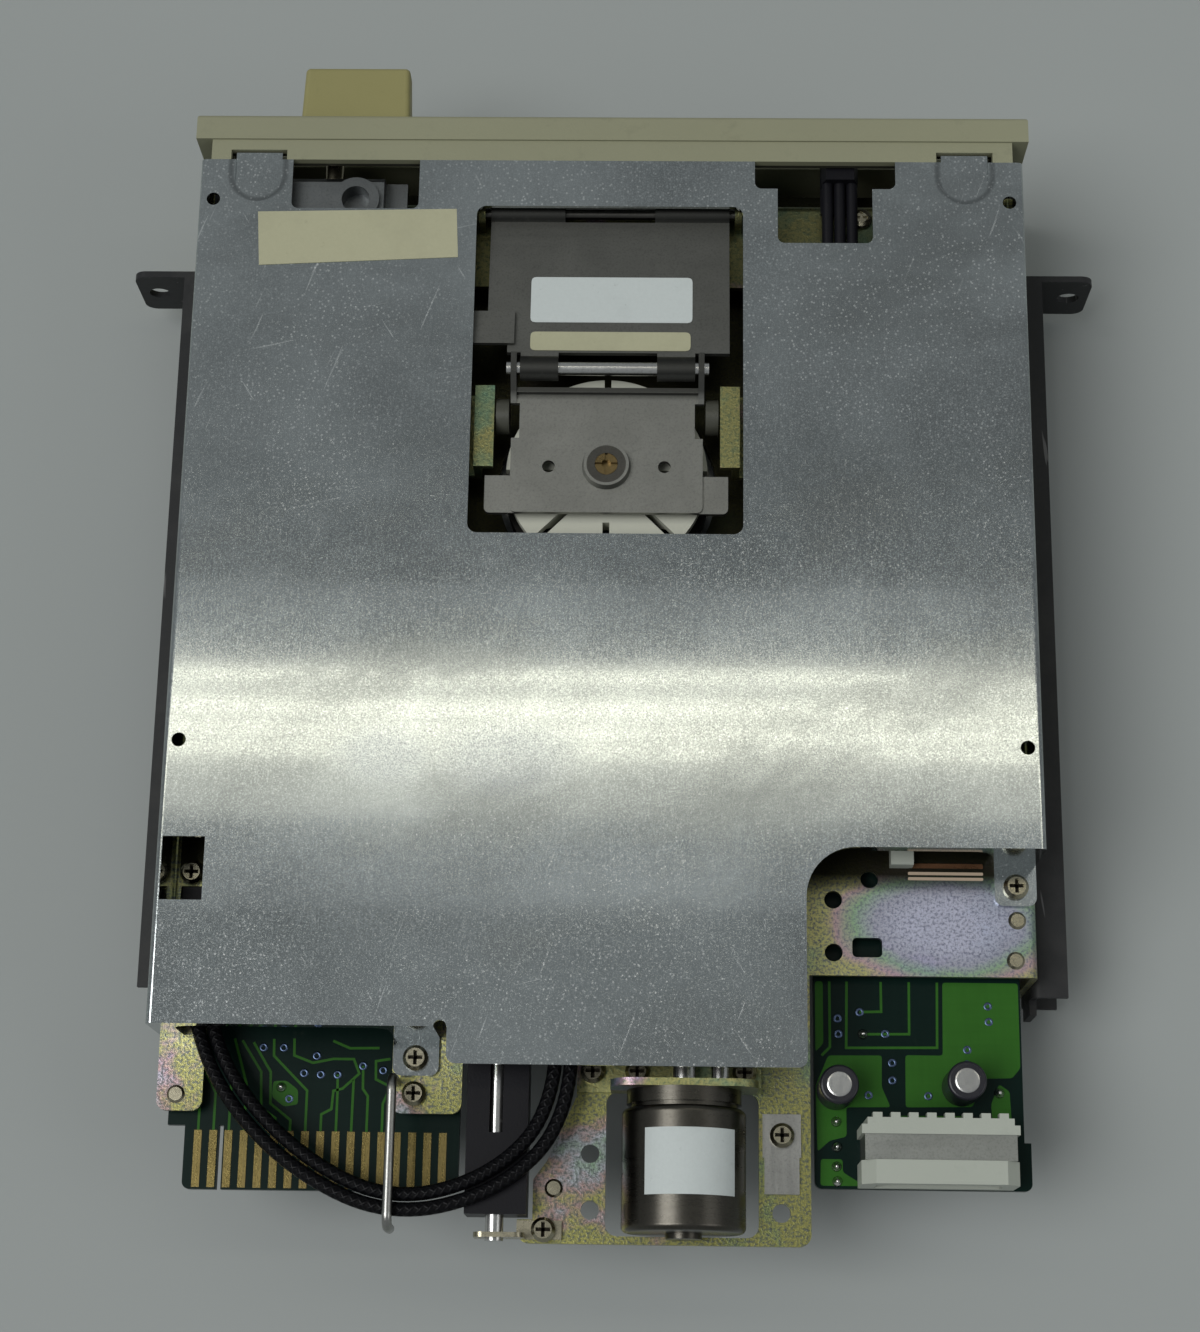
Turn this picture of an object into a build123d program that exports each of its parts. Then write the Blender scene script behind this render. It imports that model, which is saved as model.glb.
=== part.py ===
from build123d import *
import math
import os

os.makedirs("parts", exist_ok=True)

# A half-height floppy disk drive. X runs to the right seen from the front, Y to the rear, Z up.
# The origin lies under the middle of the outline, on the plane that the chassis lips rest on.

# Frame and fits
overrun = 1.0               # how far a cutting shape passes its piece
seat_gap = 0.3              # free gap between neighbours that don't touch
slip = 0.05                 # radial clearance of a running or screw fit

# Sheet-metal chassis
body_width = 146.0
body_height = 41.3
steel = 1.2
bend = 1.6
roof_over_deck = 13.8
lip_width = 9.5
tray_rear = 59.7
tray_front = -83.2
front_flange_low = 4.0
front_flange_half = 69.0
hole_pitch_x = 139.7
hole_pitch_y = 79.25
hole_first_y = -39.8
side_hole_low = 10.0
side_hole_pitch_z = 11.84
mount_hole_r = 1.3
left_tab_x = 65.4
left_tab_rear = 83.4
deck_shelf_rear = 67.5
mid_tab_left = 34.1
channel_left = 22.5
channel_right = -26.0
channel_front = 45.8
channel_rear = 73.8
nose_slot_half = 8.5
nose_slot_front = 2.8
plate_inner_x = 3.5
plate_step_y = 80.2
plate_ramp_x = 8.2
plate_ramp_y = 90.8
plate_left = 10.4
plate_left_y = 93.8
plate_foot_x = 12.9
plate_foot_y = 100.2
plate_rear = 104.0
plate_right = -34.9
plate_corner_r = 2.0
tab_corner_r = 1.8
motor_opening_left = -1.4
motor_opening_right = -26.4
motor_opening_front = 79.4
motor_opening_rear = 102.7
board_window_left = 71.0
board_window_right = 62.8
board_window_front = 45.8
board_window_rear = 56.2
slot_left = -42.1
slot_right = -47.1
slot_front = 53.3
slot_rear = 56.6
slot_r = 0.8
trim_hole_r = 1.5
trim_hole_shares = [
    (-0.618, 0.417), (-0.534, 0.451), (-0.534, 0.537), (0.016, 0.861), (0.015, 0.948), (-0.412, 0.949),
]
rivet_r = 1.1
rivet_head = 0.4
rivet_shares = [(-0.955, 0.482), (-0.949, 0.547), (0.096, 0.915), (0.956, 0.776)]

# Top shield
shield_sheet = 0.8
shield_bend = 1.0
shield_right_rear = 40.8
shield_left_rear = 71.0
shield_tongue_rear = 76.9
shield_tongue_left = 24.2
shield_tongue_right = -33.7
shield_sweep_r = 8.3
shield_relief = 2.1
window_half = 23.5
window_front = -74.3
window_rear = -13.1
window_r = 1.7
lever_notch_left = 56.5
lever_notch_right = 33.9
lever_notch_rear = -73.7
lamp_notch_left = -25.6
lamp_notch_right = -50.4
lamp_notch_mid = -77.9
lamp_slot_left = -29.6
lamp_slot_right = -46.3
lamp_notch_rear = -67.4
notch_r = 1.2
side_notch_x = 65.0
side_notch_front = 40.2
side_notch_rear = 50.8
vent_hole_r = 1.2
vent_hole_x = 70.4
vent_row_front = -75.4
vent_row_rear = 23.8
tongue_x = 62.7
tongue_half = 4.1
tongue_front = -84.8
tongue_arc_y = -79.1
tongue_drop = 0.6
right_tab_inner = -66.0
right_tab_rear = 47.8
right_arch_left = -44.5
right_arch_right = -64.5
right_arch_drop = 2.9
left_leg_right = 26.4
left_leg_left = 34.0
left_tab_end = 77.3
tab_screw_share = 0.55
left_arch_left = 69.0
left_arch_drop = 2.7
arch_r = 3.0
tab_r = 1.5
shield_screw_r = 2.1
shield_screw_head = 1.6
screw_shank_r = 1.45
screw_length = 2.8

# Front bezel
bezel_half = 74.1
bezel_proud = 0.4
bezel_front = -91.9
bezel_plate_rear = -87.1
bezel_body_half = 71.2
bezel_body_low = 0.8
bezel_wall = 3.0
bezel_side = 2.4
bezel_edge_r = 0.8
disk_slot_half = 68.3
disk_slot_height = 4.7
disk_slot_flare = 0.9
finger_half = 15.0
finger_drop = 3.9
finger_rise = 8.7
finger_r = 5.0
finger_depth = 1.8
notch_half = 5.0
notch_depth = 1.9

# Indicator lamp
lamp_x = -40.9
lamp_rise = 8.7
lamp_r = 2.5
lamp_front = -92.6
holder_half = 3.3
holder_front = -87.2
holder_rear = -81.2
holder_rise = 11.0
lead_r = 1.0
lead_pitch = 2.2
lead_end = -63.6

# Clamp carrier: front beam, posts, guides
beam_rise = 5.1
beam_front = -78.7
beam_rear = -62.2
beam_lip = 0.7
beam_left = 40.0
carrier_end = 71.6
post_x = 69.6
post_front_y = -73.2
post_rear_y = -33.2
post_r = 2.2
pivot_y = -75.2
pivot_rise = 8.7
pivot_r = 1.0
lug_inner = 22.2
lug_half = 2.5
lead_tab_half = 3.4
lead_tab_rise = 10.9
guide_inner = 21.8
guide_front = -41.2
guide_rear = -26.2
guide_rise = 11.1
guide_lip = 19.6
roller_r = 3.1
roller_inner = 17.1
roller_outer = 19.3
roller_pin_r = 1.2
roller_y = -36.6
roller_rise = 7.9

# Turning lever with its cam
lever_x = 50.0
lever_rise = 6.5
lever_r = 1.7
knob_front = -104.0
knob_inner_reach = 13.6
knob_outer_reach = 6.2
knob_drop = 1.9
knob_rise = 3.6
knob_draft = 2.0
knob_edge_r = 0.9
shaft_front = -98.2
shaft_rear = -39.8
cam_front = -54.6
cam_rear = -49.0
cam_high_r = 4.5
cam_low_r = 2.0
cam_angles = (0, 20, 45, 70, 90, 140, 190, 250, 310, 340)
cam_rise_shares = (1.0, 0.72, 0.4, 0.16, 0.04, 0.0, 0.0, 0.1, 0.6, 0.88)
bracket_inner = 36.6
bracket_block_inner = 40.5
bracket_block_outer = 57.0
bracket_front = -81.6
bracket_rear = -70.2
bracket_block_rear = -73.6
bracket_low_rise = 4.4
bracket_top_rise = 10.7
bracket_ring_x = 45.4
bracket_ring_y = -76.6
bracket_ring_r = 4.2
bracket_ring_bore = 2.5
bracket_ring_height = 1.0

# Hinged clamp plate and level clamp bracket
clamp_angle = 5.9
clamp_reach = 31.3
clamp_sheet = 1.0
clamp_half = 21.2
clamp_rear = 28.4
knuckle_wall = 0.9
knuckle_inner = 8.0
lug_near = 8.6
lug_far = 15.2
hinge_r = 1.2
hinge_half = 17.6
finger_inner = 16.4
finger_outer = 52.5
finger_from = 20.6
finger_to = 27.0
finger_sheet = 0.8
step_half = 3.6
step_depth = 4.6
spindle_y = -26.2
neck_half = 15.2
neck_gap = 3.4
neck_rear = -31.6
wide_half = 16.6
wing_half = 21.0
wing_front = -24.8
wing_rear = -18.0
wing_drop = 0.5
neck_rib = 0.9
ear_inner = 15.8
ear_behind = 6.0
ear_ahead = 2.4
ear_above = 1.8
collar_r = 4.2
collar_height = 1.4
bearing_r = 3.4
stem_r = 1.95
stem_bore = 0.85
stem_slot = 0.5
dot_hole_r = 1.1
dot_hole_x = 10.0

# Clamp hub and spindle
hub_flange_r = 17.5
hub_flange = 2.0
hub_face_rise = 2.1
hub_cone_r = 14.1
hub_cone_low_r = 12.8
hub_cone_depth = 2.0
hub_boss_r = 6.0
hub_slots = 8
hub_slot = 1.2
hub_slot_inner = 9.0
cone_gap = 0.25
cup_floor_drop = 0.5
rim_width = 3.65
rim_rise = 1.9
hub_drop = 2.9
deck_bore_gap = 1.2
spindle_r = 2.5
bearing_floor_drop = 3.7
bearing_drop = 12.1
bearing_tube_r = 6.0
bearing_cup_gap = 1.5
bearing_flange_width = 4.5
bearing_wall = 1.5

# Flat spindle motor
rotor_drop = 18.9
rotor_r = 33.0
rotor_rim = 1.6
rotor_floor = 1.2
rotor_height = 6.3
rotor_boss_r = 7.0
motor_board_drop = 9.5
motor_board_sheet = 1.6
motor_board_half = 42.0
motor_board_front = -65.2
motor_board_rear = 7.8
motor_board_r = 6.0
coil_count = 6
coil_radius = 22.0
coil_r = 7.0
coil_bore = 3.2
coil_height = 2.4
spacer_r = 2.6
motor_spacer_inset = 5.5

# Main board and what stands on it
board_drop = 3.1
board_sheet = 1.6
board_left = 71.4
board_shoulder_y = 85.4
board_edge_left = 68.5
board_edge_right = 22.9
board_rear = 95.8
board_bridge_front = 12.8
board_bridge_rear = 34.8
board_arm_left = -35.7
board_arm_rear = 94.4
board_right = -71.3
board_trim_x = -70.2
board_trim_y = 86.6
board_r = 1.2
board_spacer_shares = [(0.822, 0.2), (-0.822, 0.2), (0.685, 0.6), (-0.822, 0.517)]
contact_pitch = 2.54
contact_count = 17
contact_width = 1.28
contact_length = 9.3
contact_sheet = 0.1
contact_last_y = 95.5
contact_mid_x = 45.95
key_slot_width = 0.8
power_x = -55.4
power_half = 12.7
power_neck_half = 11.8
power_front = 83.8
power_rear = 94.3
power_band_front = 86.4
power_band_rear = 90.5
power_height = 10.6
power_recess = 0.7
power_wall = 1.6
power_depth = 9.5
power_corner = 2.2
tooth_count = 8
tooth_pitch = 2.9
tooth_width = 1.5
tooth_depth = 0.8
tooth_height = 2.4
band_sheet = 0.4
pin_r = 1.05
pin_pitch = 5.08
pin_rear = 92.3
cap_r = 3.2
cap_height = 9.0
cap_edge_r = 0.5
cap_shares = [(-0.538, 0.754), (-0.822, 0.746)]
chip_height = 3.4
chip_long = 22.0
chip_wide = 9.0
chip_shares = [(0.63, 0.604), (0.63, 0.412), (0.63, 0.229), (-0.712, 0.277), (-0.712, 0.662)]
connector_left = 70.3
connector_right = 63.4
connector_front = 46.8
connector_rear = 55.3
connector_height = 7.4
sensor_x = -50.4
sensor_half = 1.9
sensor_front = 37.8
sensor_rear = 41.4
sensor_height = 3.4

# Stepper motor and lead screw
motor_x = -14.1
motor_rise = 3.5
can_r = 10.1
can_front = 82.7
can_rear = 102.4
can_edge_r = 1.0
collar_motor_r = 9.35
collar_motor_front = 79.7
collar_motor_rear = 82.0
groove_r = 8.8
tail_r = 3.0
tail_rear = 103.3
screw_r = 2.0
screw_front = 42.8
screw_tip_r = 1.2
groove_depth = 0.5
screw_lead = 5.29
bracket_foot_front = 74.1
bracket_foot_left = 3.2
bracket_foot_right = -26.8
bracket_plate_half = 12.0
bracket_plate_rise = 12.1
bracket_plate_r = 4.0
shaft_hole_r = 3.0
leaf_left = -27.0
leaf_right = -33.3
leaf_front = 82.8
leaf_mid = 89.8
leaf_rear = 95.7
leaf_inset = 0.3
leaf_sheet = 0.5
pan_r = 2.0
pan_head = 1.6
pan_recess = 0.8
pan_cross = 0.6
pan_cross_length = 2.4
foot_screw_shares = (0.077, 0.32, 0.907)
tab_screw_across_share = 0.68
tab_screw_along_share = 0.8
notch_screw_across_share = 0.62
notch_screw_along_share = 0.6

# Guide rods and head carriage
rod_x = 16.4
rod_rise = 3.0
rod_r = 1.5
rod_front = 41.7
rod_rear = 103.9
side_rod_x = -20.0
clip_half = 2.6
clip_front = 41.4
clip_rear = 45.4
clip_rise = 5.5
end_clip_sheet = 0.8
end_clip_left = 19.7
end_clip_right = 5.6
end_clip_leg = 11.5
end_clip_rise = 5.7
end_clip_rear = 103.4
end_clip_front = 100.4
stage_front = 67.0
stage_rear = 73.5
stage_drop = 2.5
stage_rise = 1.1
rail_left = 21.2
rail_right = 11.2
rail_rear = 99.8
rail_rise = 5.3
rail_slot_front = 74.8
rail_slot_rear = 86.8
rail_slot_half = 1.1
side_bush_half = 2.7
nose_half = 6.0
nose_front = 24.8
nose_rise = 0.7
head_distance = 57.15
head_x_half = 2.6
head_y_half = 3.4
lower_head_rise = 1.9
arm_y = 68.7
arm_rise = 6.9
arm_angle = 2.9
arm_half = 5.6
arm_sheet = 1.6
arm_front = -41.5
arm_rear = 1.8
trunnion_r = 1.3
trunnion_half = 8.4
upright_inner = 5.9
upright_outer = 9.2
upright_rear = 71.0
upright_rise = 9.1
cable_wall_left = 10.4
cable_wall_right = 0.2
cable_wall_front = 71.7
cable_wall_rise = 8.1
arm_rib_half = 4.2
arm_rib = 1.0
follower_half = 2.8
follower_front = 67.8
follower_rear = 72.8

# Side rails
rail_sheet = 1.2
rail_low = 5.0
rail_high = 19.0
rail_depth = 6.2
side_rail_front = -71.8
side_rail_rear = 61.6
side_rail_tab = 2.6
side_rail_tab_share = 0.55
ear_reach = 88.7
ear_hole_x = 85.0
ear_hole_r = 2.0
ear_corner_r = 2.2
rail_bend = 1.5
rail_screw_head_r = 2.6
rail_screw_head = 1.7
rail_screw_shank = 1.25
rail_hole_r = 1.5
rail_screw_length = 3.4

# Cables and their hook
cable_r = 1.15
cable_share = 0.45
route_deck = 27.5           # deck height that the routes are laid over
cable_outer = [
    (4.3, 73.6, 34.2), (4.4, 85.0, 34.4), (15.6, 96.5, 34.4), (33.0, 100.7, 33.5),
    (49.8, 93.1, 31.4), (62.6, 80.2, 30.0), (68.2, 65.6, 29.3), (68.2, 55.4, 29.1),
]
cable_inner = [
    (6.8, 73.6, 34.2), (7.1, 83.8, 34.4), (17.3, 94.3, 34.4), (33.0, 98.2, 33.5),
    (48.3, 91.0, 31.4), (60.6, 78.6, 30.0), (65.7, 65.1, 29.3), (65.7, 55.4, 29.1),
]
hook_r = 0.8
hook_x = 33.3
hook_y = 78.3
hook_rise = 8.1
hook_end_y = 102.2
hook_end_rise = 3.1
hook_bend_r = 2.2

# Sizes that follow from the ones above
half_width = body_width / 2
deck_top = body_height - roof_over_deck
right_arch_z = body_height - right_arch_drop
left_arch_z = body_height - left_arch_drop
bezel_height = body_height + bezel_proud
disk_slot_low = deck_top
disk_slot_high = disk_slot_low + disk_slot_height
finger_low = deck_top - finger_drop
finger_high = deck_top + finger_rise
lamp_z = deck_top + lamp_rise
holder_top = deck_top + holder_rise
beam_low = deck_top + beam_rise
pivot_z = deck_top + pivot_rise
lead_tab_top = deck_top + lead_tab_rise
guide_top = deck_top + guide_rise
roller_z = deck_top + roller_rise
lever_z = deck_top + lever_rise
bracket_low = deck_top + bracket_low_rise
bracket_top = deck_top + bracket_top_rise
hub_face_z = deck_top + hub_face_rise
cup_floor = deck_top - cup_floor_drop
rim_top = deck_top + rim_rise
hub_low = deck_top - hub_drop
bearing_bore_floor = deck_top - bearing_floor_drop
bearing_low = deck_top - bearing_drop
rotor_low = deck_top - rotor_drop
motor_board_low = deck_top - motor_board_drop
board_top = deck_top - board_drop
motor_z = deck_top + motor_rise
bracket_plate_top = deck_top + bracket_plate_rise
rod_z = deck_top + rod_rise
clip_top = deck_top + clip_rise
end_clip_top = deck_top + end_clip_rise
stage_low = deck_top - stage_drop
stage_top = deck_top + stage_rise
rail_top = deck_top + rail_rise
nose_top = deck_top + nose_rise
lower_head_top = deck_top + lower_head_rise
arm_z = deck_top + arm_rise
upright_top = deck_top + upright_rise
cable_wall_top = deck_top + cable_wall_rise
hook_top = deck_top + hook_rise
hook_end_z = deck_top + hook_end_rise
knob_low = lever_z - knob_drop
knob_high = lever_z + knob_rise
rotor_top = rotor_low + rotor_height
cup_r = hub_cone_r + cone_gap
rim_r = cup_r + rim_width
deck_bore = rim_r + deck_bore_gap
bearing_cup_r = rim_r + bearing_cup_gap + bearing_wall
bearing_flange_r = bearing_cup_r + bearing_flange_width
wall_inner = half_width - steel
deck_under = deck_top - steel
tray_length = tray_rear - tray_front
hole_mid_y = hole_first_y + hole_pitch_y / 2
side_hole_mid = side_hole_low + side_hole_pitch_z / 2
shield_under = body_height - shield_sheet
flange_height = body_height - deck_top
beam_top = beam_low + steel
board_under = board_top - board_sheet
end_clip_seat = deck_top + end_clip_sheet
foot_seat = deck_top + steel
leaf_seat = deck_top + leaf_sheet
raise_turn = math.radians(clamp_angle)
clamp_drop = clamp_reach * math.sin(raise_turn)
hinge_y = pivot_y + clamp_reach * math.cos(raise_turn)
hinge_z = pivot_z + clamp_drop
hub_y = spindle_y + clamp_reach * math.cos(raise_turn) - clamp_reach
hub_rest_z = hub_face_z + clamp_drop
plate_top = hinge_z - hinge_r
plate_low = plate_top - clamp_sheet
neck_front = hinge_y + neck_gap
ear_rear = hinge_y + ear_behind
ear_front = hinge_y - ear_ahead
ear_top = hinge_z + ear_above
head_y = spindle_y + head_distance
trim_holes = [(half_width * across, plate_rear * along) for across, along in trim_hole_shares]
rivets = [(half_width * across, plate_rear * along) for across, along in rivet_shares]
board_spacers = [(half_width * across, plate_rear * along) for across, along in board_spacer_shares]
cap_spots = [(half_width * across, plate_rear * along) for across, along in cap_shares]
chip_spots = [(half_width * across, plate_rear * along) for across, along in chip_shares]
right_screw = (
    (right_tab_inner - half_width) / 2,
    shield_right_rear + (right_tab_rear - shield_right_rear) * tab_screw_share,
)
left_screw = (
    (left_leg_left + left_leg_right) / 2,
    shield_left_rear + (left_tab_end - shield_left_rear) * tab_screw_share,
)
tab_screw = (
    channel_left + (mid_tab_left - channel_left) * tab_screw_across_share,
    deck_shelf_rear + (left_tab_rear - deck_shelf_rear) * tab_screw_along_share,
)
notch_screw = (
    side_notch_x + (wall_inner - side_notch_x) * notch_screw_across_share,
    side_notch_front + (board_window_front - side_notch_front) * notch_screw_along_share,
)
clip_screw = ((end_clip_right + end_clip_leg) / 2, (end_clip_front + end_clip_rear) / 2)
leaf_screw = ((leaf_left + leaf_right) / 2, (leaf_front + leaf_mid) / 2)
foot_length = bracket_foot_left - bracket_foot_right
foot_screw_y = (bracket_foot_front + collar_motor_front - steel) / 2
foot_screws = [(bracket_foot_left - foot_length * share, foot_screw_y) for share in foot_screw_shares]
post_screws = [(side * post_x, row) for row in (post_front_y, post_rear_y) for side in (1, -1)]
deck_screws = [tab_screw, notch_screw, clip_screw, leaf_screw, *foot_screws]
pan_spots = [
    *[(*spot, beam_top) for spot in post_screws],
    (*tab_screw, deck_top),
    (*notch_screw, deck_top),
    (*clip_screw, end_clip_seat),
    (*leaf_screw, leaf_seat),
    *[(*spot, foot_seat) for spot in foot_screws],
]


# Chassis: a folded tray with a deck that reaches far to the rear
with BuildPart() as main_chassis:
    with BuildSketch(Plane.XZ.offset(-tray_rear)):
        with BuildLine():
            Polyline(
                (-half_width + lip_width, 0), (-half_width, 0), (-half_width, deck_top),
                (half_width, deck_top),
                (half_width, 0), (half_width - lip_width, 0), (half_width - lip_width, steel),
                (wall_inner, steel),
                (wall_inner, deck_under), (-wall_inner, deck_under), (-wall_inner, steel),
                (-half_width + lip_width, steel), close=True,
            )
        make_face()
    extrude(amount=tray_length)
    outer_bends = edges().filter_by(Axis.Y).group_by(Axis.X)
    fillet(outer_bends[0] + outer_bends[-1], radius=bend)
    with BuildSketch(Plane.XY.offset(deck_under)):
        with BuildLine():
            Polyline(
                (wall_inner, tray_rear - bend), (half_width, tray_rear - bend), (half_width, left_tab_rear),
                (left_tab_x, left_tab_rear), (left_tab_x, deck_shelf_rear), (mid_tab_left, deck_shelf_rear),
                (mid_tab_left, left_tab_rear), (channel_left, left_tab_rear), (channel_left, channel_rear),
                (plate_inner_x, channel_rear), (plate_inner_x, plate_step_y), (plate_ramp_x, plate_ramp_y),
                (plate_left, plate_left_y), (plate_left, plate_foot_y), (plate_foot_x, plate_foot_y),
                (plate_foot_x, plate_rear), (plate_right, plate_rear), (plate_right, tray_rear - bend),
                close=True,
            )
        make_face()
        fillet(vertices().group_by(Axis.Y)[-1], radius=plate_corner_r)
        fillet(vertices().filter_by_position(Axis.Y, left_tab_rear, left_tab_rear), radius=tab_corner_r)
    extrude(amount=steel)
    with BuildSketch(Plane.XZ.offset(-tray_front - steel)):
        with Locations((0, (front_flange_low + deck_under) / 2)):
            Rectangle(2 * front_flange_half, deck_under - front_flange_low)
    extrude(amount=steel)
    with BuildSketch(Plane.XY.offset(deck_under - overrun)):
        with Locations((0, spindle_y)):
            Circle(deck_bore)
        with Locations(((channel_left + channel_right) / 2, (channel_front + channel_rear) / 2)):
            Rectangle(channel_left - channel_right, channel_rear - channel_front)
        with Locations((0, (nose_slot_front + channel_front) / 2)):
            Rectangle(2 * nose_slot_half, channel_front - nose_slot_front)
        with Locations((
            (board_window_left + board_window_right) / 2, (board_window_front + board_window_rear) / 2,
        )):
            Rectangle(board_window_left - board_window_right, board_window_rear - board_window_front)
        with Locations((
            (motor_opening_left + motor_opening_right) / 2, (motor_opening_front + motor_opening_rear) / 2,
        )):
            RectangleRounded(
                motor_opening_left - motor_opening_right, motor_opening_rear - motor_opening_front,
                plate_corner_r
            )
        with Locations(((slot_left + slot_right) / 2, (slot_front + slot_rear) / 2)):
            RectangleRounded(slot_left - slot_right, slot_rear - slot_front, slot_r)
        with Locations(*trim_holes, *deck_screws, right_screw, left_screw):
            Circle(trim_hole_r)
        with Locations(*rivets):
            Circle(rivet_r + slip)
    extrude(amount=steel + 2 * overrun, mode=Mode.SUBTRACT)
    with BuildSketch(Plane.XY.offset(-overrun)):
        with Locations((0, hole_mid_y)):
            with GridLocations(hole_pitch_x, hole_pitch_y, 2, 2):
                Circle(mount_hole_r)
    extrude(amount=steel + 2 * overrun, mode=Mode.SUBTRACT)
    with BuildSketch(Plane.YZ):
        with Locations((hole_mid_y, side_hole_mid)):
            with GridLocations(hole_pitch_y, side_hole_pitch_z, 2, 2):
                Circle(mount_hole_r)
    extrude(amount=half_width + overrun, both=True, mode=Mode.SUBTRACT)
main_chassis.part.label = "main_chassis"
export_step(main_chassis.part, "parts/main_chassis.step")

with BuildPart() as chassis_rivets:
    with BuildSketch(Plane.XY.offset(deck_under)):
        with Locations(*rivets):
            Circle(rivet_r)
    extrude(amount=steel)
    with BuildSketch(Plane.XY.offset(deck_top)):
        with Locations(*rivets):
            Circle(rivet_r + rivet_head)
    extrude(amount=rivet_head, taper=45)
chassis_rivets.part.label = "chassis_rivets"
export_step(chassis_rivets.part, "parts/chassis_rivets.step")

# Top shield: one folded sheet with flanges, arches and screw tabs
with BuildPart() as top_shield:
    with BuildSketch(Plane.XY.offset(shield_under)):
        with BuildLine():
            Polyline(
                (half_width, tray_front), (half_width, shield_left_rear),
                (shield_tongue_left, shield_left_rear),
                (shield_tongue_left, shield_tongue_rear), (shield_tongue_right, shield_tongue_rear),
                (shield_tongue_right, shield_right_rear), (-half_width, shield_right_rear),
                (-half_width, tray_front),
                close=True,
            )
        make_face()
        sweep_corner = vertices().filter_by(lambda v: v.Y == shield_right_rear and v.X > -half_width)
        fillet(sweep_corner, radius=shield_sweep_r)
        fillet(vertices().group_by(Axis.Y)[-1], radius=tab_r)
    extrude(amount=shield_sheet)
    with BuildSketch(Plane.YZ.offset(half_width - shield_sheet)):
        with Locations(((tray_front + shield_left_rear) / 2, deck_top + flange_height / 2)):
            Rectangle(shield_left_rear - tray_front, flange_height)
    extrude(amount=shield_sheet)
    with BuildSketch(Plane.YZ.offset(-half_width)):
        with Locations(((tray_front + shield_right_rear) / 2, deck_top + flange_height / 2)):
            Rectangle(shield_right_rear - tray_front, flange_height)
    extrude(amount=shield_sheet)
    with BuildSketch(Plane.XZ.offset(-shield_right_rear)):
        with BuildLine():
            Polyline(
                (-half_width, body_height), (-half_width, deck_top), (right_arch_right, deck_top),
                (right_arch_right, right_arch_z), (right_arch_left, right_arch_z),
                (right_arch_left, body_height), close=True,
            )
        make_face()
        fillet(vertices().group_by(Axis.Y)[1].sort_by(Axis.X)[0], radius=arch_r)
    extrude(amount=shield_sheet)
    with BuildSketch(Plane.XZ.offset(-shield_left_rear)):
        with BuildLine():
            Polyline(
                (half_width, body_height), (half_width, deck_top), (left_arch_left, deck_top),
                (left_arch_left, left_arch_z), (left_leg_left, left_arch_z), (left_leg_left, deck_top),
                (left_leg_right, deck_top), (left_leg_right, body_height), close=True,
            )
        make_face()
        fillet(vertices().group_by(Axis.Y)[1], radius=arch_r)
    extrude(amount=shield_sheet)
    with BuildSketch(Plane.XY.offset(deck_top)):
        with Locations((
            (right_tab_inner - half_width) / 2, (shield_right_rear - shield_sheet + right_tab_rear) / 2,
        )):
            Rectangle(right_tab_inner + half_width, right_tab_rear - shield_right_rear + shield_sheet)
        with Locations((
            (left_leg_left + left_leg_right) / 2, (shield_left_rear - shield_sheet + left_tab_end) / 2,
        )):
            Rectangle(left_leg_left - left_leg_right, left_tab_end - shield_left_rear + shield_sheet)
        fillet(vertices().filter_by(lambda v: v.Y in (right_tab_rear, left_tab_end)), radius=tab_r)
        with Locations(right_screw, left_screw):
            Circle(trim_hole_r, mode=Mode.SUBTRACT)
    extrude(amount=shield_sheet)
    roof_bends = edges().filter_by(Axis.Y).group_by(Axis.Z)[-1].group_by(Axis.X)
    fillet(roof_bends[0] + roof_bends[-1], radius=shield_bend)
    with BuildSketch(Plane.XY.offset(shield_under - tongue_drop)):
        with Locations((tongue_x, 0), (-tongue_x, 0)):
            with Locations((0, (tongue_front + tongue_arc_y) / 2)):
                Rectangle(2 * tongue_half, tongue_arc_y - tongue_front)
            with Locations((0, tongue_arc_y)):
                Circle(tongue_half)
    pressed = extrude(amount=shield_sheet)
    extrude(pressed.faces().sort_by(Axis.Z)[-1], amount=shield_sheet, mode=Mode.SUBTRACT)
    extrude(pressed.faces().sort_by(Axis.Z)[-2], amount=shield_sheet, mode=Mode.SUBTRACT)
    with BuildSketch(Plane.XY.offset(shield_under - overrun)):
        with Locations((0, (window_front + window_rear) / 2)):
            RectangleRounded(2 * window_half, window_rear - window_front, window_r)
        with Locations(((lever_notch_left + lever_notch_right) / 2, lever_notch_rear)):
            RectangleRounded(
                lever_notch_left - lever_notch_right, 2 * (lever_notch_rear - tray_front), notch_r,
                align=(Align.CENTER, Align.MAX),
            )
        with Locations(((lamp_notch_left + lamp_notch_right) / 2, lamp_notch_mid)):
            RectangleRounded(
                lamp_notch_left - lamp_notch_right, 2 * (lamp_notch_mid - tray_front), notch_r,
                align=(Align.CENTER, Align.MAX),
            )
        with Locations(((lamp_slot_left + lamp_slot_right) / 2, lamp_notch_rear)):
            RectangleRounded(
                lamp_slot_left - lamp_slot_right, lamp_notch_rear - tray_front, notch_r,
                align=(Align.CENTER, Align.MAX),
            )
        with Locations((
            (side_notch_x + half_width - shield_bend) / 2, (side_notch_front + side_notch_rear) / 2,
        )):
            Rectangle(half_width - shield_bend - side_notch_x, side_notch_rear - side_notch_front)
        with Locations(*[
            (side * vent_hole_x, row) for side in (1, -1) for row in (vent_row_front, vent_row_rear)
        ]):
            Circle(vent_hole_r)
        with Locations((left_leg_right - shield_relief / 2, shield_left_rear)):
            Circle(shield_relief / 2)
    extrude(amount=shield_sheet + 2 * overrun, mode=Mode.SUBTRACT)
top_shield.part.label = "top_shield"
export_step(top_shield.part, "parts/top_shield.step")


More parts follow.
